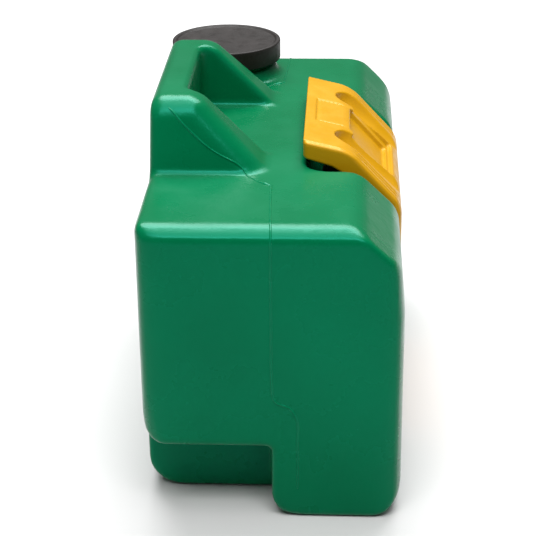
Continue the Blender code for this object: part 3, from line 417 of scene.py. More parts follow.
def tank_plastic():
    """Glossy blow-moulded polyethylene: orange peel, hazy patches, and a painted highlight that
    lightens its convex edges.
    """
    deep = (0.0, 0.112, 0.038)
    fresh = (0.0, 0.134, 0.048)
    # lighter green for the painted highlight on convex edges
    edge_highlight_green = (0.0, 0.180, 0.080)
    mat, shader = new_material("tank_green", fresh, 0.26, IOR=1.46,
                               Specular_Tint=(0.10, 1.0, 0.85, 1), Specular_IOR_Level=0.36)
    cloud = spread(mat, noise(mat, 5.5, 4), (0.35, 0.65), (0, 1))
    colour = mix_colours(mat, cloud, deep, fresh)
    geometry = add_node(mat, "ShaderNodeNewGeometry")
    # painted highlight: pointiness mixes the lighter green onto convex edges
    edges = spread(mat, geometry.outputs["Pointiness"], (0.515, 0.56), (0, 0.35))
    haze = spread(mat, noise(mat, 14, 5, 0.6), (0.38, 0.68), (0.24, 0.36))
    peel = bump(mat, noise(mat, 170, 2), 0.00016)
    waves = bump(mat, noise(mat, 22, 1), 0.0007, peel)
    return finish(mat, shader, mix_colours(mat, edges, colour, edge_highlight_green), haze, waves)


def moulded_plastic(name, colour, dark, roughness, grain_scale, grain_depth, tint=(1, 1, 1, 1)):
    """Satin moulded plastic with a fine grain, uneven gloss and slightly uneven colour."""
    mat, shader = new_material(name, colour, roughness, IOR=1.49, Specular_Tint=tint)
    cloud = spread(mat, noise(mat, 18, 4), (0.35, 0.65), (0, 1))
    gloss = spread(mat, noise(mat, 60, 5, 0.6), (0.35, 0.7), (roughness * 0.82, roughness * 1.25))
    grain = bump(mat, noise(mat, grain_scale, 3), grain_depth)
    relief = bump(mat, noise(mat, 40, 1), grain_depth * 4, grain)
    return finish(mat, shader, mix_colours(mat, cloud, dark, colour), gloss, relief)


def brushed_steel():
    """Bright steel with fine drawn lines and an uneven polish."""
    mat, shader = new_material("stainless", (0.62, 0.61, 0.59), 0.26, Metallic=1.0)
    lines = noise(mat, 900, 3, 0.6, (0.08, 1.0, 1.0))
    tone = spread(mat, lines, (0.3, 0.7), (0, 1))
    colour = mix_colours(mat, tone, (0.50, 0.49, 0.47), (0.68, 0.67, 0.65))
    polish = spread(mat, noise(mat, 240, 4), (0.3, 0.7), (0.18, 0.36))
    return finish(mat, shader, colour, polish, bump(mat, lines, 0.00002))


def hose_plastic():
    """Cloudy flexible vinyl with a faint fine bump."""
    mat, shader = new_material("hose_grey", (0.50, 0.47, 0.40), 0.30, Subsurface_Weight=0.25,
                               Subsurface_Scale=0.003, IOR=1.52)
    cloud = spread(mat, noise(mat, 35, 4), (0.3, 0.7), (0, 1))
    colour = mix_colours(mat, cloud, (0.40, 0.37, 0.30), (0.56, 0.53, 0.46))
    gloss = spread(mat, noise(mat, 120, 3), (0.3, 0.7), (0.22, 0.40))
    return finish(mat, shader, colour, gloss, bump(mat, noise(mat, 500, 2), 0.00006))


def cap_plastic():
    """Black moulded plastic with a spark-eroded grain and a dusting of handling marks."""
    mat, shader = new_material("cap_black", (0.016, 0.013, 0.012), 0.50, IOR=1.45,
                               Specular_IOR_Level=0.3)
    dust = spread(mat, noise(mat, 26, 6, 0.65), (0.42, 0.75), (0, 1))
    colour = mix_colours(mat, dust, (0.009, 0.007, 0.006), (0.019, 0.015, 0.014))
    gloss = spread(mat, noise(mat, 90, 4), (0.3, 0.7), (0.40, 0.62))
    grain = bump(mat, noise(mat, 1300, 2), 0.00012)
    return finish(mat, shader, colour, gloss, bump(mat, noise(mat, 60, 2), 0.0003, grain))


FINISH = {
    "tank_green": tank_plastic(),
    "arm_yellow": moulded_plastic("arm_yellow", (0.47, 0.235, 0.002), (0.44, 0.218, 0.001),
                                  0.38, 900, 0.00005, (1.0, 0.85, 0.35, 1)),
    "cap_black": cap_plastic(),
    "head_black": moulded_plastic("head_black", (0.035, 0.035, 0.035), (0.022, 0.022, 0.022),
                                  0.42, 1100, 0.00006),
    "fitting_white": moulded_plastic("fitting_white", (0.74, 0.74, 0.71), (0.64, 0.64, 0.60),
                                     0.40, 1000, 0.00004),
    "seal_rubber": moulded_plastic("seal_rubber", (0.034, 0.034, 0.034), (0.022, 0.022, 0.022),
                                   0.80, 1600, 0.00008),
    "hose_grey": hose_plastic(),
    "stainless": brushed_steel(),
}


# ---------------------------------------------------------------- tank
SLOPE_TOP_Y = FRONT_Y + 0.043
SLOPE_FOOT = (FRONT_Y + 0.005, TOP - 0.037)
LEAN_FOOT_Z = TOP - 0.087
SHOULDER_IN = 0.013
SHOULDER_DROP = 0.009
NOTCH_TOP = 0.0735
CHANNEL_HALF = 0.114
CHANNEL_BACK = FRONT_Y + 0.062
BAY_BACK = FRONT_Y + 0.093
BAY_FLOOR = 0.200
CREST_FRONT_Y = BACK_Y - 0.046
HANDLE_FOOT_Y = 0.009
HANDLE_BASE = 0.129
HANDLE_CROWN = 0.108
VALLEY_HALF = 0.072
VALLEY_BACK = BACK_Y - 0.034
SEAM_Y = -0.024                 # front edge of the rear undercut, and the parting line below it
NOTCH_DEPTH = 0.051
COLLAR_FOOT = 0.060             # cone round the neck's root
COLLAR_RADIUS = 0.0535
COLLAR_HEIGHT = 0.013
SOCKET_DEPTH = 0.017
RIB = ((0.0985, -0.0797, 0.150), (0.1085, CHANNEL_BACK + 0.005, 0.172))

PAST = 0.05                     # how far an outline or a tool runs past what it cuts
SIDE = rounded([
    (FRONT_Y, 0, 0.028), (BACK_Y + PAST, 0, 0), (BACK_Y + PAST, TOP, 0),
    (SLOPE_TOP_Y, TOP, 0.030), (*SLOPE_FOOT, 0.028), (FRONT_Y, LEAN_FOOT_Z, 0.060),
])
SHOULDER_PEAK = TOP - SHOULDER_DROP + HALF_W * SHOULDER_DROP / SHOULDER_IN
ENDS = rounded([
    (-HALF_W, -PAST, 0), (HALF_W, -PAST, 0), (HALF_W, TOP - SHOULDER_DROP, 0.009),
    (0, SHOULDER_PEAK, 0), (-HALF_W, TOP - SHOULDER_DROP, 0.009),
])
SPARE = 0.004                   # lets the corner rounding leave the flat walls where they are
PLAN = rounded([
    (sx * (HALF_W + SPARE), sy * (BACK_Y + SPARE), 0.034)
    for sx, sy in ((-1, -1), (1, -1), (1, 1), (-1, 1))
], 10)
NOTCH = rounded([
    (SEAM_Y, -PAST, 0), (BACK_Y + PAST, -PAST, 0), (BACK_Y + PAST, NOTCH_TOP + 0.022, 0),
    (BACK_Y, NOTCH_TOP + 0.022, 0), (BACK_Y - 0.0005, NOTCH_TOP, 0.0215), (0, NOTCH_TOP, 0.006),
    (0, 0, 0.0235), (SEAM_Y, 0, 0),
], 8)
CHANNEL = rounded([
    (FRONT_Y - PAST, -PAST, 0), (CHANNEL_BACK, -PAST, 0), (CHANNEL_BACK, BAY_FLOOR, 0.014),
    (BAY_BACK, BAY_FLOOR + 0.028, 0.010), (BAY_BACK, TOP + PAST, 0),
    (FRONT_Y - PAST, TOP + PAST, 0),
])
BAY_PLAN = rounded([
    (-CHANNEL_HALF, FRONT_Y - PAST, 0), (CHANNEL_HALF, FRONT_Y - PAST, 0),
    (CHANNEL_HALF, BAY_BACK, 0.024), (-CHANNEL_HALF, BAY_BACK, 0.024),
], 8)


def handle_field(x, y, z):
    """U-shaped grip: sloping outer walls, two ridges that run down to the top, a bar behind."""
    wide = np.abs(x)
    wall = line_2d(wide, z, (HANDLE_BASE, TOP), (HANDLE_CROWN, HANDLE_TOP))
    slope = -line_2d(y, z, (HANDLE_FOOT_Y, TOP), (CREST_FRONT_Y, HANDLE_TOP))
    shape = round_max(round_max(slope, z - HANDLE_TOP, 0.008), wall, 0.018)
    valley = round_max(wide - VALLEY_HALF, y - VALLEY_BACK, 0.012)
    valley = round_max(valley, TOP - z, 0.006)
    shape = cut_by(shape, valley, 0.0075)
    return both(shape, TOP - PAST / 2 - z)


def outer_field(x, y, z):
    """The moulding without its neck."""
    wide = np.abs(x)
    body = round_max(polygon(y, z, SIDE), polygon(x, z, ENDS), 0.005)
    shape = round_min(body, handle_field(x, y, z), 0.005)
    back_round = np.interp(z, [0.04, 0.12, TOP, HANDLE_TOP], [0.033, 0.010, 0.010, 0.014])
    shape = round_max(shape, y - BACK_Y, back_round)
    shape = round_max(shape, polygon(x, y, PLAN), 0.008)
    notch = round_max(polygon(y, z, NOTCH), HALF_W - NOTCH_DEPTH - wide, 0.008)
    shape = cut_by(shape, notch, 0.005)
    channel = round_max(polygon(y, z, CHANNEL), polygon(x, y, BAY_PLAN), 0.004)
    shape = cut_by(shape, channel, 0.006)
    pocket = round_max(wide - 0.066, slab(z, 0.258, 0.309), 0.012)
    pocket = round_max(pocket, VALLEY_BACK + 2 * WALL - y, 0.007)
    return cut_by(shape, pocket, 0.005)


def collar_field(x, y, z):
    """Cone that the neck rises from, kept off the back wall."""
    reach = length(x - NECK_X, y - NECK_Y)
    cone = line_2d(reach, z, (COLLAR_FOOT, TOP), (COLLAR_RADIUS, TOP + COLLAR_HEIGHT))
    cone = round_max(round_max(cone, z - TOP - COLLAR_HEIGHT, 0.003), TOP - 0.020 - z, 0.001)
    return round_max(cone, y - BACK_Y + GAP, 0.004)


def tank_field(x, y, z):
    """The moulding with its collar, the ribs that the arm rests on and the ledges that stop it."""
    wide = np.abs(x)
    shape = round_min(outer_field(x, y, z), collar_field(x, y, z), 0.006)
    shape = both(shape, y - BACK_Y, wide - HALF_W)
    rib = block(wide, y, z, *RIB, 0.0015)
    ledge_y = HINGE.y - 0.014
    ledge = block(wide, y, z, (CHANNEL_HALF - 0.008, ledge_y - 0.004, HINGE.z - GAP),
                  (CHANNEL_HALF + 0.002, ledge_y + 0.004, HINGE.z + 0.0077), 0.001)
    return either(round_min(shape, rib, 0.003), ledge)


def cavity_field(x, y, z):
    """Inside of the moulding, which stays clear of the two hinge sockets."""
    boss = both(length(y - HINGE.y, z - HINGE.z) - 0.0125,
                      np.abs(x) - CHANNEL_HALF - 0.021)
    return both(outer_field(x, y, z) + WALL, -boss)


THREAD_PITCH = 0.005
THREAD_TURNS = 2.0
THREAD_HEIGHT = 0.0018
THREAD_START = 0.004            # below the neck's top


def thread_radius(z, turn):
    """Neck's radius at a height and a share of a turn, with the thread's lead-in and run-out."""
    phase = (NECK_TOP - THREAD_START - z) / THREAD_PITCH - turn
    if not 0 <= phase <= THREAD_TURNS:
        return NECK_RADIUS
    lead = min(1.0, phase * 4, (THREAD_TURNS - phase) * 4)
    crest = max(0.0, math.cos(2 * math.pi * phase)) ** 1.5
    return NECK_RADIUS + THREAD_HEIGHT * crest * lead


def threaded_neck():
    """Filler neck with its raised thread and a small chamfer at its top."""
    bm = bmesh.new()
    sides = 128
    rows = 60
    low = TOP + 0.005
    rings = []
    for row in range(rows + 1):
        z = low + (NECK_TOP - low) * row / rows
        ring = []
        for i in range(sides):
            angle = 2 * math.pi * i / sides
            radius = thread_radius(z, i / sides) if row < rows else NECK_RADIUS - 0.0006
            ring.append(bm.verts.new((NECK_X + radius * math.cos(angle),
                                      NECK_Y + radius * math.sin(angle), z)))
        rings.append(ring)
    closed_skin(bm, rings)
    return built_object("neck", bm)


def make_tank():
    """Outer shape and neck joined, then hollowed and bored."""
    tank = net("tank", tank_field, even_grid(TANK_LOW, TANK_HIGH, TANK_CELL))
    apply_boolean(tank, threaded_neck(), "UNION")
    cavity = net("cavity", cavity_field, even_grid(TANK_LOW, TANK_HIGH, TANK_CELL * 2.4))
    apply_boolean(tank, cavity, "DIFFERENCE")
    bore = rod("bore", NECK_RADIUS - WALL, (NECK_X, NECK_Y, TOP - 0.02),
               (NECK_X, NECK_Y, NECK_TOP + 0.01), 128)
    apply_boolean(tank, bore, "DIFFERENCE")
    for _, side in SIDES:
        mouth = (side * (CHANNEL_HALF - GAP), HINGE.y, HINGE.z)
        end = (side * (CHANNEL_HALF + SOCKET_DEPTH), HINGE.y, HINGE.z)
        apply_boolean(tank, rod("socket", BUSH_RADIUS + GAP, mouth, end), "DIFFERENCE")
    outlet = middle("outlet_nut")
    hole = rod("outlet_hole", STEM_RADIUS + GAP, (outlet.x, CHANNEL_BACK - 0.01, outlet.z),
               (outlet.x, CHANNEL_BACK + 0.01, outlet.z))
    apply_boolean(tank, hole, "DIFFERENCE")
    tank.data.shade_smooth()
    tank.data.set_sharp_from_angle(angle=math.radians(50))
    return place(tank, "tank", "tank_green", "tank_shell")


# ---------------------------------------------------------------- seam of the moulding
def on_surface(line):
    """Nearest places on the tank's surface and their normals, by a few steps down the field's slope."""
    spots = np.array(line, float)
    nudge = 0.0005
    for _ in range(6):
        here = tank_field(*spots.T)
        slope = np.stack([tank_field(*(spots + nudge * axis).T) - here for axis in np.eye(3)], 1)
        normals = slope / np.maximum(np.linalg.norm(slope, axis=1), 1e-9)[:, None]
        spots = spots - normals * here[:, None]
    return [(Vector(spot), Vector(normal)) for spot, normal in zip(spots, normals)]


def smooth_line(points, spacing):
    """Catmull-Rom curve through points, sampled about every spacing."""
    points = [Vector(point) for point in points]
    line = [points[0]]
    for i in range(len(points) - 1):
        a = points[max(i - 1, 0)]
        b, c = points[i], points[i + 1]
        d = points[min(i + 2, len(points) - 1)]
        steps = max(1, round((c - b).length / spacing))
        for k in range(1, steps + 1):
            t = k / steps
            line.append(0.5 * (2 * b + (c - a) * t + (2 * a - 5 * b + 4 * c - d) * t * t
                               + (3 * b - a - 3 * c + d) * t * t * t))
    return line


BEAD_SECTION = ((-1.0, -0.6), (-0.9, 0.05), (-0.45, 0.75), (0.0, 1.0),
                (0.45, 0.75), (0.9, 0.05), (1.0, -0.6))


def seam_bead(name, guide, half_width, height):
    """Raised flash line that follows the surface, a little uneven along its length."""
    line = on_surface(smooth_line(guide, 0.0025))
    bm = bmesh.new()
    rings = []
    for i, (point, normal) in enumerate(line):
        ahead = line[min(i + 1, len(line) - 1)][0] - line[max(i - 1, 0)][0]
        across = ahead.cross(normal).normalized()
        uneven = 1 + 0.35 * math.sin(i * 0.9) * math.sin(i * 0.23 + 1)
        fade = min(1.0, (i + 1) / 4, (len(line) - i) / 4)
        ring = []
        for u, v in BEAD_SECTION:
            spot = point + across * u * half_width * fade + normal * v * height * uneven * fade
            spot.x = min(max(spot.x, -HALF_W), HALF_W)
            ring.append(bm.verts.new(spot))
        rings.append(ring)
    closed_skin(bm, rings)
    bmesh.ops.recalc_face_normals(bm, faces=bm.faces)
    return place(built_object(name, bm), "tank", "tank_green")


def make_seams():
    """The mould's parting line: up each end, over the shoulder, and up the ridge's outer wall."""
    up_end = [
        (HALF_W, SEAM_Y, 0.030), (HALF_W, SEAM_Y, 0.070), (HALF_W, SEAM_Y, 0.100),
        (HALF_W, -0.017, 0.114), (HALF_W, -0.004, 0.121), (HALF_W, -0.001, 0.140),
        (HALF_W, -0.001, 0.200), (HALF_W, -0.001, 0.262), (HALF_W - 0.006, -0.001, TOP - 0.004),
        (0.240, 0.000, TOP), (0.192, 0.002, TOP), (0.160, 0.003, TOP), (0.155, 0.004, TOP),
        (0.150, 0.012, TOP), (0.135, 0.024, TOP + 0.002), (0.125, 0.035, TOP + 0.008),
        (0.118, 0.062, TOP + 0.022), (0.112, 0.085, TOP + 0.042), (0.109, 0.101, TOP + 0.060),
    ]
    flash = [(0.149, 0.014, TOP), (0.152, 0.008, TOP), (0.157, 0.003, TOP)]
    for name, side in SIDES:
        for part, guide, half_width, height in (("tank_seam_", up_end, 0.0012, 0.0007),
                                                ("tank_flash_", flash, 0.0030, 0.0013)):
            line = [(side * x, y, z) for x, y, z in guide]
            seam_bead(part + name, line, half_width, height)


# ---------------------------------------------------------------- fill cap
def make_cap():
    """Screw cap with a raised rim; its gasket keeps the frame's shape."""
    rim = 0.0016
    face = CAP_HIGH.z - rim
    under = face - 0.0032
    skirt = NECK_RADIUS + 0.0024
    outline = rounded([
        (0, under, 0), (skirt, under, 0.001), (skirt, CAP_LOW.z, 0.0006),
        (CAP_RADIUS, CAP_LOW.z, 0.0012), (CAP_RADIUS, CAP_HIGH.z, 0.0017),
        (CAP_RADIUS - 0.004, CAP_HIGH.z, 0.0010),
        (CAP_RADIUS - 0.0062, face, 0.0012), (0, face, 0),
    ])
    cap = lathe("cap", outline, 160, (NECK_X, NECK_Y, 0))
    place(cap, "cap", "cap_black", "fill_cap")
    finish = frame["nodes"]["cap_gasket"].data.materials
    finish.clear()
    finish.append(FINISH["seal_rubber"])


# ---------------------------------------------------------------- arm
ARM_HALF = 0.1035
ARM_WALL = 0.003
ARM_BACK = (ARM_HIGH.y, ARM_HIGH.z)
KNEE = (-0.0695, 0.3010)
BROW = (-0.1188, 0.2476)
SCOOP_X = 0.060
SCOOP_RADIUS = 0.0227
PIPE_Y = -0.086
PIPE_Z = 0.249
CLIP_WALL = 0.002
SADDLE_X = 0.022
SCREW_Z = PIPE_Z - 0.017
CLIP_FACE = PIPE_Y - PIPE_RADIUS - GAP - CLIP_WALL
PAD_FACE = CLIP_FACE - GAP
PILOT_RADIUS = 0.0023           # screw's hole in the clip and in the arm's pad
STEP_X = 0.0992                 # the rails outside this line stand lower than the plate
PANEL_HALF = 0.033
PANEL_FRONT = -0.070
PANEL_BACK = -0.0355
RELIEF_FOOT = 0.220             # the slope and the top plate lie above this height

ARM_UNDER = rounded([
    (ARM_LOW.y - PAST, ARM_LOW.z, 0), (-0.080, ARM_LOW.z, 0.006), (-0.080, 0.236, 0.012),
    (-0.064, 0.278, 0.014), (-0.052, 0.2858, 0.010),
    (ARM_BACK[0] + 0.010, ARM_BACK[1] - 0.0142, 0), (ARM_BACK[0] + 0.010, 0.36, 0),
    (ARM_LOW.y - PAST, 0.36, 0),
])
ARM_PLAN = rounded([
    (-ARM_HALF, ARM_LOW.y - PAST, 0), (ARM_HALF, ARM_LOW.y - PAST, 0),
    (ARM_HALF, ARM_BACK[0], 0.0055), (-ARM_HALF, ARM_BACK[0], 0.0055),
])
SLOPE_LENGTH = math.hypot(BROW[0] - KNEE[0], BROW[1] - KNEE[1])
DOWN = ((BROW[0] - KNEE[0]) / SLOPE_LENGTH, (BROW[1] - KNEE[1]) / SLOPE_LENGTH)


def arm_skin(y, z):
    """Top plate, slope and front as one rounded sheet, with its inner side negative."""
    top = line_2d(y, z, KNEE, ARM_BACK)
    slope = line_2d(y, z, BROW, KNEE)
    return round_max(round_max(-top, -slope, 0.007), ARM_LOW.y - y, 0.007)


def on_slope(down, height):
    """Point in a scoop's middle plane, down the slope from the knee and above it."""
    return (SCOOP_X, KNEE[0] + DOWN[0] * down + DOWN[1] * height,
            KNEE[1] + DOWN[1] * down - DOWN[0] * height)


def scoop_tool(wide, y, z):
    """Finger scoop down the slope, with the hooked hollow at its upper end."""
    start = on_slope(0.003, SCOOP_RADIUS - 0.012)
    end = on_slope(SLOPE_LENGTH, SCOOP_RADIUS - 0.003)
    end = [e + 0.4 * (e - s) for s, e in zip(start, end)]
    scoop = capsule(wide, y, z, start, end, SCOOP_RADIUS)
    hook = capsule(wide, y, z, on_slope(0.001, 0.0005), on_slope(0.045, 0.0125), 0.0165)
    return round_min(scoop, hook, 0.003)


def plate_tool(wide, y, z):
    """Shallow panel in the top plate, deeper along its back and its sides."""
    plate = -line_2d(y, z, KNEE, ARM_BACK)
    panel = both(wide - PANEL_HALF, y - PANEL_BACK, -0.0006 - plate, PANEL_FRONT - y)
    back = both(wide - PANEL_HALF, slab(y, PANEL_BACK - 0.0027, PANEL_BACK), -0.0016 - plate)
    sides = both(slab(wide, PANEL_HALF - 0.0025, PANEL_HALF),
                 slab(y, PANEL_FRONT, PANEL_BACK), -0.0013 - plate)
    return either(panel, back, sides)


def arm_blank(x, y, z):
    """The moulding before its reliefs: filled, and hollow."""
    wide = np.abs(x)
    skin = arm_skin(y, z)
    plan = polygon(x, y, ARM_PLAN)
    step = both(skin, wide - STEP_X)
    sheet = round_min(round_max(skin + 0.0008, plan, 0.0028), both(step, plan), 0.0006)
    filled = round_max(sheet, polygon(y, z, ARM_UNDER), 0.0012)
    hollow = both(skin + ARM_WALL, wide - ARM_HALF + ARM_WALL)
    hollow = both(hollow, either(y - ARM_BACK[0] + ARM_WALL, z - 0.236))
    return filled, both(filled, -hollow)


def arm_field(x, y, z):
    """Hollow arm with scoops, panels, lines, a field for a sign, screw pads and hinge lugs."""
    wide = np.abs(x)
    down = (y - KNEE[0]) * DOWN[0] + (z - KNEE[1]) * DOWN[1]
    height = (z - KNEE[1]) * -DOWN[0] + (y - KNEE[0]) * DOWN[1]
    filled, arm = arm_blank(x, y, z)
    scoop = scoop_tool(wide, y, z)
    panel = round_max(wide - PANEL_HALF, slab(down, 0.002, 0.058), 0.004)
    panel = round_max(panel, -0.008 - height, 0.003)
    crests = round_max(wide - 0.044, slab(down, 0.006, 0.062), 0.004)
    crests = round_max(crests, -0.0042 - height, 0.002)
    for tool in (scoop, panel, crests):
        arm = either(arm, both(filled + 0.001, tool - ARM_WALL))
    pad = both(np.abs(wide - SADDLE_X) - 0.0075, np.abs(z - SCREW_Z) - 0.0075,
               y - PAD_FACE, arm_skin(y, z) + 0.001)
    arm = round_min(arm, pad, 0.001)
    arm = cut_by(arm, either(round_min(scoop, crests, 0.001), panel), 0.0015)
    arm = cut_by(arm, plate_tool(wide, y, z), 0.0005)
    for line_x in (0.0850, 0.0922):
        depth = both(-0.0009 - height, 0.003 - down)
        arm = cut_by(arm, both(np.abs(wide - line_x) - 0.0011, depth), 0.0005)
    sign = both(wide - 0.088, np.abs(z - 0.125) - 0.090)
    arm = cut_by(arm, both(sign, y - ARM_LOW.y - 0.0007), 0.0006)
    hole = length(y - HINGE.y, z - HINGE.z) - PIN_RADIUS - GAP
    arm = both(arm, -both(hole, 0.09 - wide))
    lug = length(y - HINGE.y - 0.012, z - HINGE.z - 0.014) - 0.004
    lug = round_max(lug, slab(wide, ARM_HALF - 0.002, ARM_HIGH.x), 0.0008)
    arm = round_min(arm, lug, 0.001)
    pilot = length(wide - SADDLE_X, z - SCREW_Z) - PILOT_RADIUS
    return both(arm, -both(pilot, slab(y, PAD_FACE - 0.012, PAD_FACE + 0.02)))


def make_arm():
    """The arm, on a grid that is finer where its reliefs are."""
    low, high = tuple(ARM_LOW), tuple(ARM_HIGH)
    grid = even_grid(low, high, ARM_CELL)
    grid[2] = np.concatenate((np.arange(low[2] - 0.005, RELIEF_FOOT, 0.0024),
                              np.arange(RELIEF_FOOT, high[2] + 0.003, 0.0010)))
    place(net("arm", arm_field, grid), "arm", "arm_yellow", "arm_shell")


# ---------------------------------------------------------------- outlet, hose and clamps
def middle(node):
    """Middle of a node's box."""
    low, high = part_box(node)
    return (Vector(low) + Vector(high)) / 2


OUTLET_X = middle("outlet_nut").x
BARB_ROOT = 0.013               # from the outlet's axis
BARB_START = OUTLET_X + BARB_ROOT
BARB_LENGTH = 0.020
BARB_RADIUS = 0.0063
BARB_BORE = 0.0043
FLANGE_RADIUS = 0.017
GASKET_THICK = 0.002
INLET_X = middle("hose_clamp_upper").x
INLET_ROOT = 0.018              # from the manifold's axis
HOSE_RADIUS = 0.0086
HOSE_BORE = 0.0066
HOSE_LEAD = 0.012               # straight stretch past each barb
BAND_RADIUS = 0.0094            # clamp's band, to the middle of its strip
SCREW_OUT = 0.0109              # clamp's screw, from the hose's axis


def barb_ridges(along, root):
    """Radius of a hose barb along its axis: saw-tooth rings and a lead-in."""
    share = np.clip((along - root) / BARB_LENGTH, 0, 1)
    tooth = (share * 4) % 1.0
    lead_in = (BARB_RADIUS - BARB_BORE) * 0.25 * (share > 0.9)
    return BARB_RADIUS - 0.0009 * tooth * (share < 0.99) - lead_in


def elbow_field(x, y, z):
    """Flanged elbow through the channel's back wall, with a barb along the hinge line."""
    dx = x - OUTLET_X
    dy = y - HINGE.y
    dz = z - HINGE.z
    through = length(dx, dz)
    across = length(dy, dz)
    inner_wall = CHANNEL_BACK + WALL
    flange_y = inner_wall + 0.0026 - HINGE.y
    stem = round_max(through - STEM_RADIUS, slab(dy, 0, inner_wall + 0.010 - HINGE.y), 0.0008)
    corner = length(dx, dy, dz) - STEM_RADIUS
    shoulder = round_max(across - HOSE_RADIUS, slab(dx, 0, BARB_ROOT), 0.0006)
    barb = both(across - barb_ridges(dx, BARB_ROOT), slab(dx, 0, BARB_ROOT + BARB_LENGTH))
    shape = either(round_min(round_min(stem, corner, 0.002), shoulder, 0.002), barb)
    flange = round_max(through - FLANGE_RADIUS, slab(dy, flange_y, flange_y + 0.004), 0.0008)
    shape = either(shape, flange)
    bore = either(both(through - PIPE_BORE, -dy), both(across - BARB_BORE, -dx))
    return cut_by(shape, bore, 0.0005)


def nut_field(x, y, z):
    """Hexagon nut with chamfered corners."""
    low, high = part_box("outlet_nut")
    dx = x - OUTLET_X
    dz = z - HINGE.z
    flats = both(np.abs(dz), np.abs(dx) * math.cos(math.pi / 6) + np.abs(dz) / 2) - 0.015
    reach = length(dx, dz)
    middle_y = (low[1] + high[1]) / 2
    chamfer = reach + np.abs(y - middle_y) - 0.0205
    shape = round_max(both(flats, chamfer), slab(y, low[1], high[1]), 0.0004)
    return cut_by(shape, reach - STEM_RADIUS - GAP, 0.0006)


def clamp_field(centre, along, screw):
    """Worm-drive band: slotted strip, raised housing and the screw's round head."""
    axis = Vector(along)
    up = Vector(screw)
    side = axis.cross(up)

    def field(x, y, z):
        d = (x - centre.x, y - centre.y, z - centre.z)
        a = d[0] * axis.x + d[1] * axis.y + d[2] * axis.z
        u = d[0] * up.x + d[1] * up.y + d[2] * up.z
        s = d[0] * side.x + d[1] * side.y + d[2] * side.z
        reach = length(u, s)
        band = round_max(np.abs(reach - BAND_RADIUS) - 0.0005, np.abs(a) - 0.004, 0.0003)
        angle = np.arctan2(s, -u) * 14
        slots = both(np.abs(a) - 0.0022, np.cos(angle) * -0.0012, 0.0096 - reach)
        band = both(band, -slots)
        off_screw = length(u - SCREW_OUT, a)
        barrel = round_max(off_screw - 0.0025, np.abs(s) - 0.0036, 0.0005)
        head = round_max(off_screw - 0.0018, slab(s, 0, 0.0042), 0.0003)
        inner = BAND_RADIUS - 0.0005 - reach
        return either(band, both(either(barrel, head), inner))

    return field


def hose_route():
    """Off the barb along the hinge line, round and up to the manifold's inlet."""
    start_x = BARB_START + GAP
    inlet_z = PIPE_Z - INLET_ROOT - GAP
    return [
        (start_x, HINGE.y, HINGE.z), (start_x + BARB_LENGTH, HINGE.y, HINGE.z),
        (start_x + BARB_LENGTH + HOSE_LEAD, HINGE.y, HINGE.z), (-0.010, HINGE.y, 0.0315),
        (0.016, HINGE.y, 0.0450), (0.0355, -0.0975, 0.068), (0.0455, -0.096, 0.097),
        (INLET_X, -0.093, 0.130), (INLET_X, -0.089, 0.165),
        (INLET_X, PIPE_Y, inlet_z - BARB_LENGTH - HOSE_LEAD),
        (INLET_X, PIPE_Y, inlet_z - BARB_LENGTH), (INLET_X, PIPE_Y, inlet_z),
    ]


def make_hose():
    """Open tube along the route, its outer and inner walls in one ring per step."""
    line = smooth_line(hose_route(), 0.003)
    sides = 36
    bm = bmesh.new()
    rings = []
    side = Vector((0, 1, 0))
    for i, point in enumerate(line):
        ahead = (line[min(i + 1, len(line) - 1)] - line[max(i - 1, 0)]).normalized()
        side = (side - ahead * side.dot(ahead)).normalized()
        up = ahead.cross(side)
        ring = []
        for radius in (HOSE_RADIUS, HOSE_BORE):
            for k in range(sides):
                angle = 2 * math.pi * k / sides
                out = side * math.cos(angle) + up * math.sin(angle)
                ring.append(bm.verts.new(point + out * radius))
        rings.append(ring)
    for near, far in zip(rings, rings[1:]):
        for k in range(sides):
            j = (k + 1) % sides
            bm.faces.new((near[k], near[j], far[j], far[k]))
            bm.faces.new((near[sides + j], near[sides + k], far[sides + k], far[sides + j]))
    for ring in (rings[0], rings[-1]):
        for k in range(sides):
            j = (k + 1) % sides
            bm.faces.new((ring[k], ring[j], ring[sides + j], ring[sides + k]))
    bmesh.ops.recalc_face_normals(bm, faces=bm.faces)
    place(built_object("hose", bm, 50), "arm", "hose_grey", "supply_hose")


def around(node, cell, margin=0.001):
    """Grid over a node's box."""
    low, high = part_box(node)
    return even_grid([c - margin for c in low], [c + margin for c in high], cell)


def fitting(name, node, field, cell=FINE_CELL):
    """White moulded fitting from a field; the name says which body it is on."""
    body = "tank" if node.startswith("outlet") else "arm"
    place(net(name, field, around(node, cell)), body, "fitting_white", node)


def make_outlet():
    """Elbow, nut and gasket in the channel's back wall, and the clamps on both barbs."""
    fitting("elbow", "outlet_elbow", elbow_field)
    fitting("nut", "outlet_nut", nut_field)
    inner = STEM_RADIUS + GAP
    ring = rounded([(inner, 0, 0.0003), (FLANGE_RADIUS, 0, 0.0005),
                    (FLANGE_RADIUS, GASKET_THICK, 0.0005), (inner, GASKET_THICK, 0.0003)], 3)
    seat = (OUTLET_X, CHANNEL_BACK + WALL + GAP, HINGE.z)
    gasket = lathe("bulkhead_gasket", ring, 72, seat, (0, 1, 0))
    place(gasket, "tank", "seal_rubber", "outlet_gasket")
    lower = Vector((BARB_START + BARB_LENGTH / 2, HINGE.y, HINGE.z))
    upper = Vector((INLET_X, PIPE_Y, PIPE_Z - INLET_ROOT - BARB_LENGTH / 2))
    for end, body, centre, along, screw in (("lower", "tank", lower, (1, 0, 0), (0, 0, 1)),
                                            ("upper", "arm", upper, (0, 0, 1), (0, 1, 0))):
        node = "hose_clamp_" + end
        clamp = net("worm_clamp_" + end, clamp_field(centre, along, screw), around(node, 0.00045))
        place(clamp, body, "stainless", node)


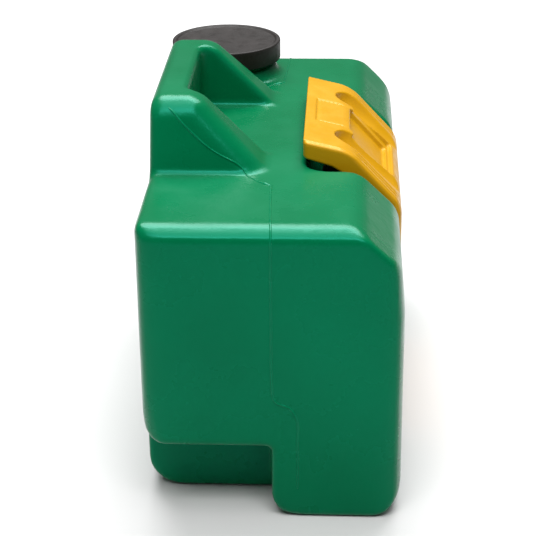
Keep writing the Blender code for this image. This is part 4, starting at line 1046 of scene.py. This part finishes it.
# ---------------------------------------------------------------- manifold and spray heads
HEAD_X = middle("spray_head_right").x
STUB_RADIUS = 0.008
BASE_BORE = STUB_RADIUS + GAP
HEAD_HOLES = ((0.010, 8, 0.0016), (0.0052, 5, 0.0011), (0.0, 1, 0.0011))
CUP = rounded([                 # (radius, distance from the head's base, fillet)
    (BASE_BORE, 0, 0.0004), (0.0115, 0, 0.0008), (0.0115, 0.0083, 0.003), (0.0190, 0.0187, 0.004),
    (0.0190, 0.0290, 0.0004), (0.0186, 0.0294, 0.0003), (0.0186, 0.0302, 0.0003),
    (0.0190, 0.0306, 0.0004), (0.0190, 0.0340, 0.0010), (0.0166, 0.0340, 0.0006),
    (0.0166, 0.0300, 0.0002), (0.0154, 0.0300, 0.0003), (0.0154, 0.0211, 0.003),
    (BASE_BORE, 0.0107, 0.001),
])
DISC = rounded([
    (0.0025, 0.0063, 0.0003), (STUB_RADIUS, 0.0063, 0.0003), (STUB_RADIUS, 0.0083, 0.0003),
    (0.0025, 0.0083, 0.0006),
], 3)


def manifold_field(x, y, z):
    """Pipe across the arm, with its barbed inlet below and a stub for each head."""
    wide = np.abs(x)
    dy = y - PIPE_Y
    dz = z - PIPE_Z
    across = length(dy, dz)
    pipe = round_max(across - PIPE_RADIUS, wide - 0.068, 0.0015)
    beads = round_max(across - PIPE_RADIUS - 0.0008, np.abs(wide - 0.0655) - 0.0016, 0.0005)
    pipe = round_min(pipe, beads, 0.0006)
    down = length(x - INLET_X, dy)
    inlet = round_max(down - HOSE_RADIUS, slab(dz, -INLET_ROOT, 0), 0.0006)
    barb = both(down - barb_ridges(-dz, INLET_ROOT),
                      slab(dz, -INLET_ROOT - BARB_LENGTH, 0))
    stub_reach = length(wide - HEAD_X, dz)
    stub = round_max(stub_reach - STUB_RADIUS, slab(dy, 0, 0.0155), 0.0005)
    shape = either(round_min(round_min(pipe, inlet, 0.002), stub, 0.0015), barb)
    bore = both(across - PIPE_BORE, wide - 0.065)
    inlet_bore = both(down - BARB_BORE, dz)
    stub_bore = both(stub_reach - 0.005, -dy)
    return both(shape, -either(bore, inlet_bore, stub_bore))


def saddle_field(side):
    """Clip: a ring round the pipe, with a flat foot for the screw."""
    inner = PIPE_RADIUS + GAP

    def field(x, y, z):
        dx = np.abs(x - side * SADDLE_X)
        across = length(y - PIPE_Y, z - PIPE_Z)
        ring = np.abs(across - inner - CLIP_WALL / 2) - CLIP_WALL / 2
        ring = round_max(ring, dx - 0.006, 0.0005)
        foot = round_max(dx - 0.006, slab(z, PIPE_Z - 0.023, PIPE_Z), 0.0025)
        foot = round_max(foot, slab(y, CLIP_FACE, CLIP_FACE + CLIP_WALL), 0.0004)
        hole = length(dx, z - SCREW_Z) - PILOT_RADIUS
        return both(round_min(ring, foot, 0.0015), inner - across, -hole)

    return field


def screw_field(side):
    """Cross-slotted pan-head screw with its thread."""
    seat = PIPE_Y - PIPE_RADIUS

    def field(x, y, z):
        dx = x - side * SADDLE_X
        dz = z - SCREW_Z
        reach = length(dx, dz)
        dy = y - seat
        turn = np.arctan2(dz, dx) / (2 * math.pi)
        ridge = np.abs(((dy / 0.0012 + turn) % 1.0) - 0.5) * 0.0009
        shank = both(reach - 0.0014 - ridge, slab(dy, -0.012, 0))
        dome = length(reach, dy + 0.0022) - 0.0048
        head = round_max(both(reach - 0.004, -dy), dome, 0.0003)
        slot = either(both(np.abs(dx) - 0.0005, np.abs(dz) - 0.0021),
                          both(np.abs(dz) - 0.0005, np.abs(dx) - 0.0021))
        return either(shank, both(head, -both(slot, 0.0011 - dy)))

    return field


def plate_field(centre, low_y, high_y):
    """Perforated face: two rings of holes and one in the middle."""

    def field(x, y, z):
        dx = x - centre.x
        dz = z - centre.z
        reach = length(dx, dz)
        crown = high_y - 0.0006 * (reach / 0.016) ** 2
        shape = round_max(both(reach - 0.0163, low_y - y), y - crown, 0.0005)
        for circle, count, radius in HEAD_HOLES:
            for i in range(count):
                angle = 2 * math.pi * i / count
                hole_x, hole_z = circle * math.cos(angle), circle * math.sin(angle)
                hole = length(dx - hole_x, dz - hole_z) - radius
                shape = cut_by(shape, hole, 0.0003)
        return shape

    return field


def make_clip(name, side):
    """Clip and screw that hold one side of the pipe to the arm."""
    node = "manifold_clip_" + name
    clip = net("pipe_saddle_" + name, saddle_field(side), around(node, FINE_CELL))
    place(clip, "arm", "head_black", node)
    node = "clip_screw_" + name
    screw = net("saddle_screw_" + name, screw_field(side), around(node, 0.00028))
    place(screw, "arm", "stainless", node)


def make_head(name, side):
    """Spray head: cup, flow disc and perforated face."""
    base = (side * HEAD_X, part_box("spray_head_" + name)[0][1], PIPE_Z)
    cup = lathe("eye_cup_" + name, CUP, 96, base, (0, 1, 0))
    place(cup, "arm", "head_black", "spray_head_" + name)
    disc = lathe("orifice_disc_" + name, DISC, 64, base, (0, 1, 0))
    place(disc, "arm", "stainless", "flow_disc_" + name)
    node = "spray_plate_" + name
    low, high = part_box(node)
    fitting("spray_face_" + name, node, plate_field(Vector(base), low[1], high[1]), 0.00045)


def make_manifold():
    """Pipe, and its clips and heads on both sides."""
    fitting("manifold", "manifold_pipe", manifold_field, 0.0008)
    for name, side in SIDES:
        make_clip(name, side)
        make_head(name, side)


# ---------------------------------------------------------------- hinge
PIN_HEAD = (0.009, 0.003)       # radius and thickness
BUSH_FLANGE = (0.0096, 0.0023)
CLIP_RADIUS = 0.0084


def clip_ring_field(low_x, high_x):
    """Retaining ring with a mouth and two eyes."""
    inner = PIN_RADIUS + GAP

    def field(x, y, z):
        dy = y - HINGE.y
        dz = z - HINGE.z
        reach = length(dy, dz)
        eyes = either(length(dy - 0.0018, dz + 0.0070),
                          length(dy + 0.0018, dz + 0.0070)) - 0.0019
        shape = both(either(reach - CLIP_RADIUS, eyes), inner - reach)
        mouth = both(np.abs(dy) - 0.0006, dz + 0.003)
        holes = eyes + 0.0012
        flat = both(shape, -mouth, -holes)
        return round_max(flat, slab(x, low_x, high_x), 0.0002)

    return field


def make_hinge():
    """Headed pin, bush and retaining ring on each side."""
    inner = PIN_RADIUS + GAP
    mouth = CHANNEL_HALF - GAP
    at = (0, HINGE.y, HINGE.z)
    for name, side in SIDES:
        out = (side, 0, 0)
        low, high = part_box("hinge_pin_" + name)
        near_x, far_x = sorted((abs(low[0]), abs(high[0])))
        neck_x = near_x + PIN_HEAD[1]
        pin = rounded([
            (0, near_x, 0), (PIN_HEAD[0], near_x, 0.0012), (PIN_HEAD[0], neck_x, 0.0003),
            (PIN_RADIUS, neck_x, 0.0004), (PIN_RADIUS, far_x, 0.0009), (0, far_x, 0),
        ])
        place(lathe("pivot_pin_" + name, pin, 72, at, out), "arm", "stainless",
              "hinge_pin_" + name)
        flange_x = mouth - BUSH_FLANGE[1]
        bush = rounded([
            (inner, flange_x, 0.0005), (BUSH_FLANGE[0], flange_x, 0.0005),
            (BUSH_FLANGE[0], mouth, 0.0003), (BUSH_RADIUS, mouth, 0.0003),
            (BUSH_RADIUS, far_x, 0.0005), (inner, far_x, 0.0003),
        ], 3)
        place(lathe("pivot_bush_" + name, bush, 72, at, out), "tank", "fitting_white",
              "hinge_bush_" + name)
        node = "pin_clip_" + name
        low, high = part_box(node)
        ring = net("retaining_ring_" + name, clip_ring_field(low[0], high[0]), around(node, 0.00035))
        place(ring, "arm", "stainless", node)


make_tank()
make_seams()
make_cap()
make_arm()
make_outlet()
make_hose()
make_manifold()
make_hinge()

# ---------------------------------------------------------------- camera
PHOTO_SIDE = 536                # frame that the focal length below refers to
FOCAL = 1579.0
CAMERA_AT = Vector((-1.5063, -0.0647, 0.8130))
YAW = math.radians(3.03)
PITCH = math.radians(24.25)
ROLL = math.radians(-0.63)


def make_camera():
    """Camera at the photo's angle."""
    forward = Vector((math.cos(YAW) * math.cos(PITCH), math.sin(YAW) * math.cos(PITCH),
                      -math.sin(PITCH)))
    level = Vector((math.sin(YAW), -math.cos(YAW), 0))
    upright = level.cross(forward)
    right = level * math.cos(ROLL) + upright * math.sin(ROLL)
    up = upright * math.cos(ROLL) - level * math.sin(ROLL)
    data = bpy.data.cameras.new("camera")
    data.sensor_width = 36.0
    data.lens = FOCAL * data.sensor_width / PHOTO_SIDE
    camera = bpy.data.objects.new("camera", data)
    columns = Matrix((right, up, -forward)).transposed().to_4x4()
    camera.matrix_world = Matrix.Translation(CAMERA_AT) @ columns
    bpy.context.collection.objects.link(camera)
    bpy.context.scene.camera = camera


def area_light(name, size, power, at, towards):
    """Soft box of this size and power, aimed at a point."""
    data = bpy.data.lights.new(name, "AREA")
    data.shape = "RECTANGLE"
    data.size = size[0]
    data.size_y = size[1]
    data.energy = power
    light = bpy.data.objects.new(name, data)
    light.location = at
    light.rotation_euler = (Vector(towards) - Vector(at)).to_track_quat("-Z", "Y").to_euler()
    bpy.context.collection.objects.link(light)


def make_stage():
    """Pale floor, three soft boxes overhead and a dim white surround."""
    bm = bmesh.new()
    bmesh.ops.create_grid(bm, x_segments=4, y_segments=4, size=6.0)
    floor = built_object("floor", bm)
    mat, _ = new_material("floor_paper", (0.55, 0.55, 0.55), 0.9)
    floor.data.materials.append(mat)
    floor.location = (0, 0, TANK_LOW.z - 0.0005)
    world = bpy.data.worlds.new("studio")
    world.use_nodes = True
    preset(world.node_tree.nodes["Background"], Color=(1, 1, 1, 1), Strength=0.16)
    bpy.context.scene.world = world
    area_light("back_softbox", (4.0, 2.2), 270, (2.4, 0.0, 4.1), (0.1, 0, 0))
    area_light("ceiling", (5.0, 3.0), 230, (0.3, 0.0, 4.8), (0.3, 0, 0))
    area_light("front_softbox", (4.0, 1.3), 140, (-2.3, 0.0, 4.0), (0, 0, 0.1))
    bpy.context.scene.view_settings.view_transform = "Standard"


make_camera()
make_stage()
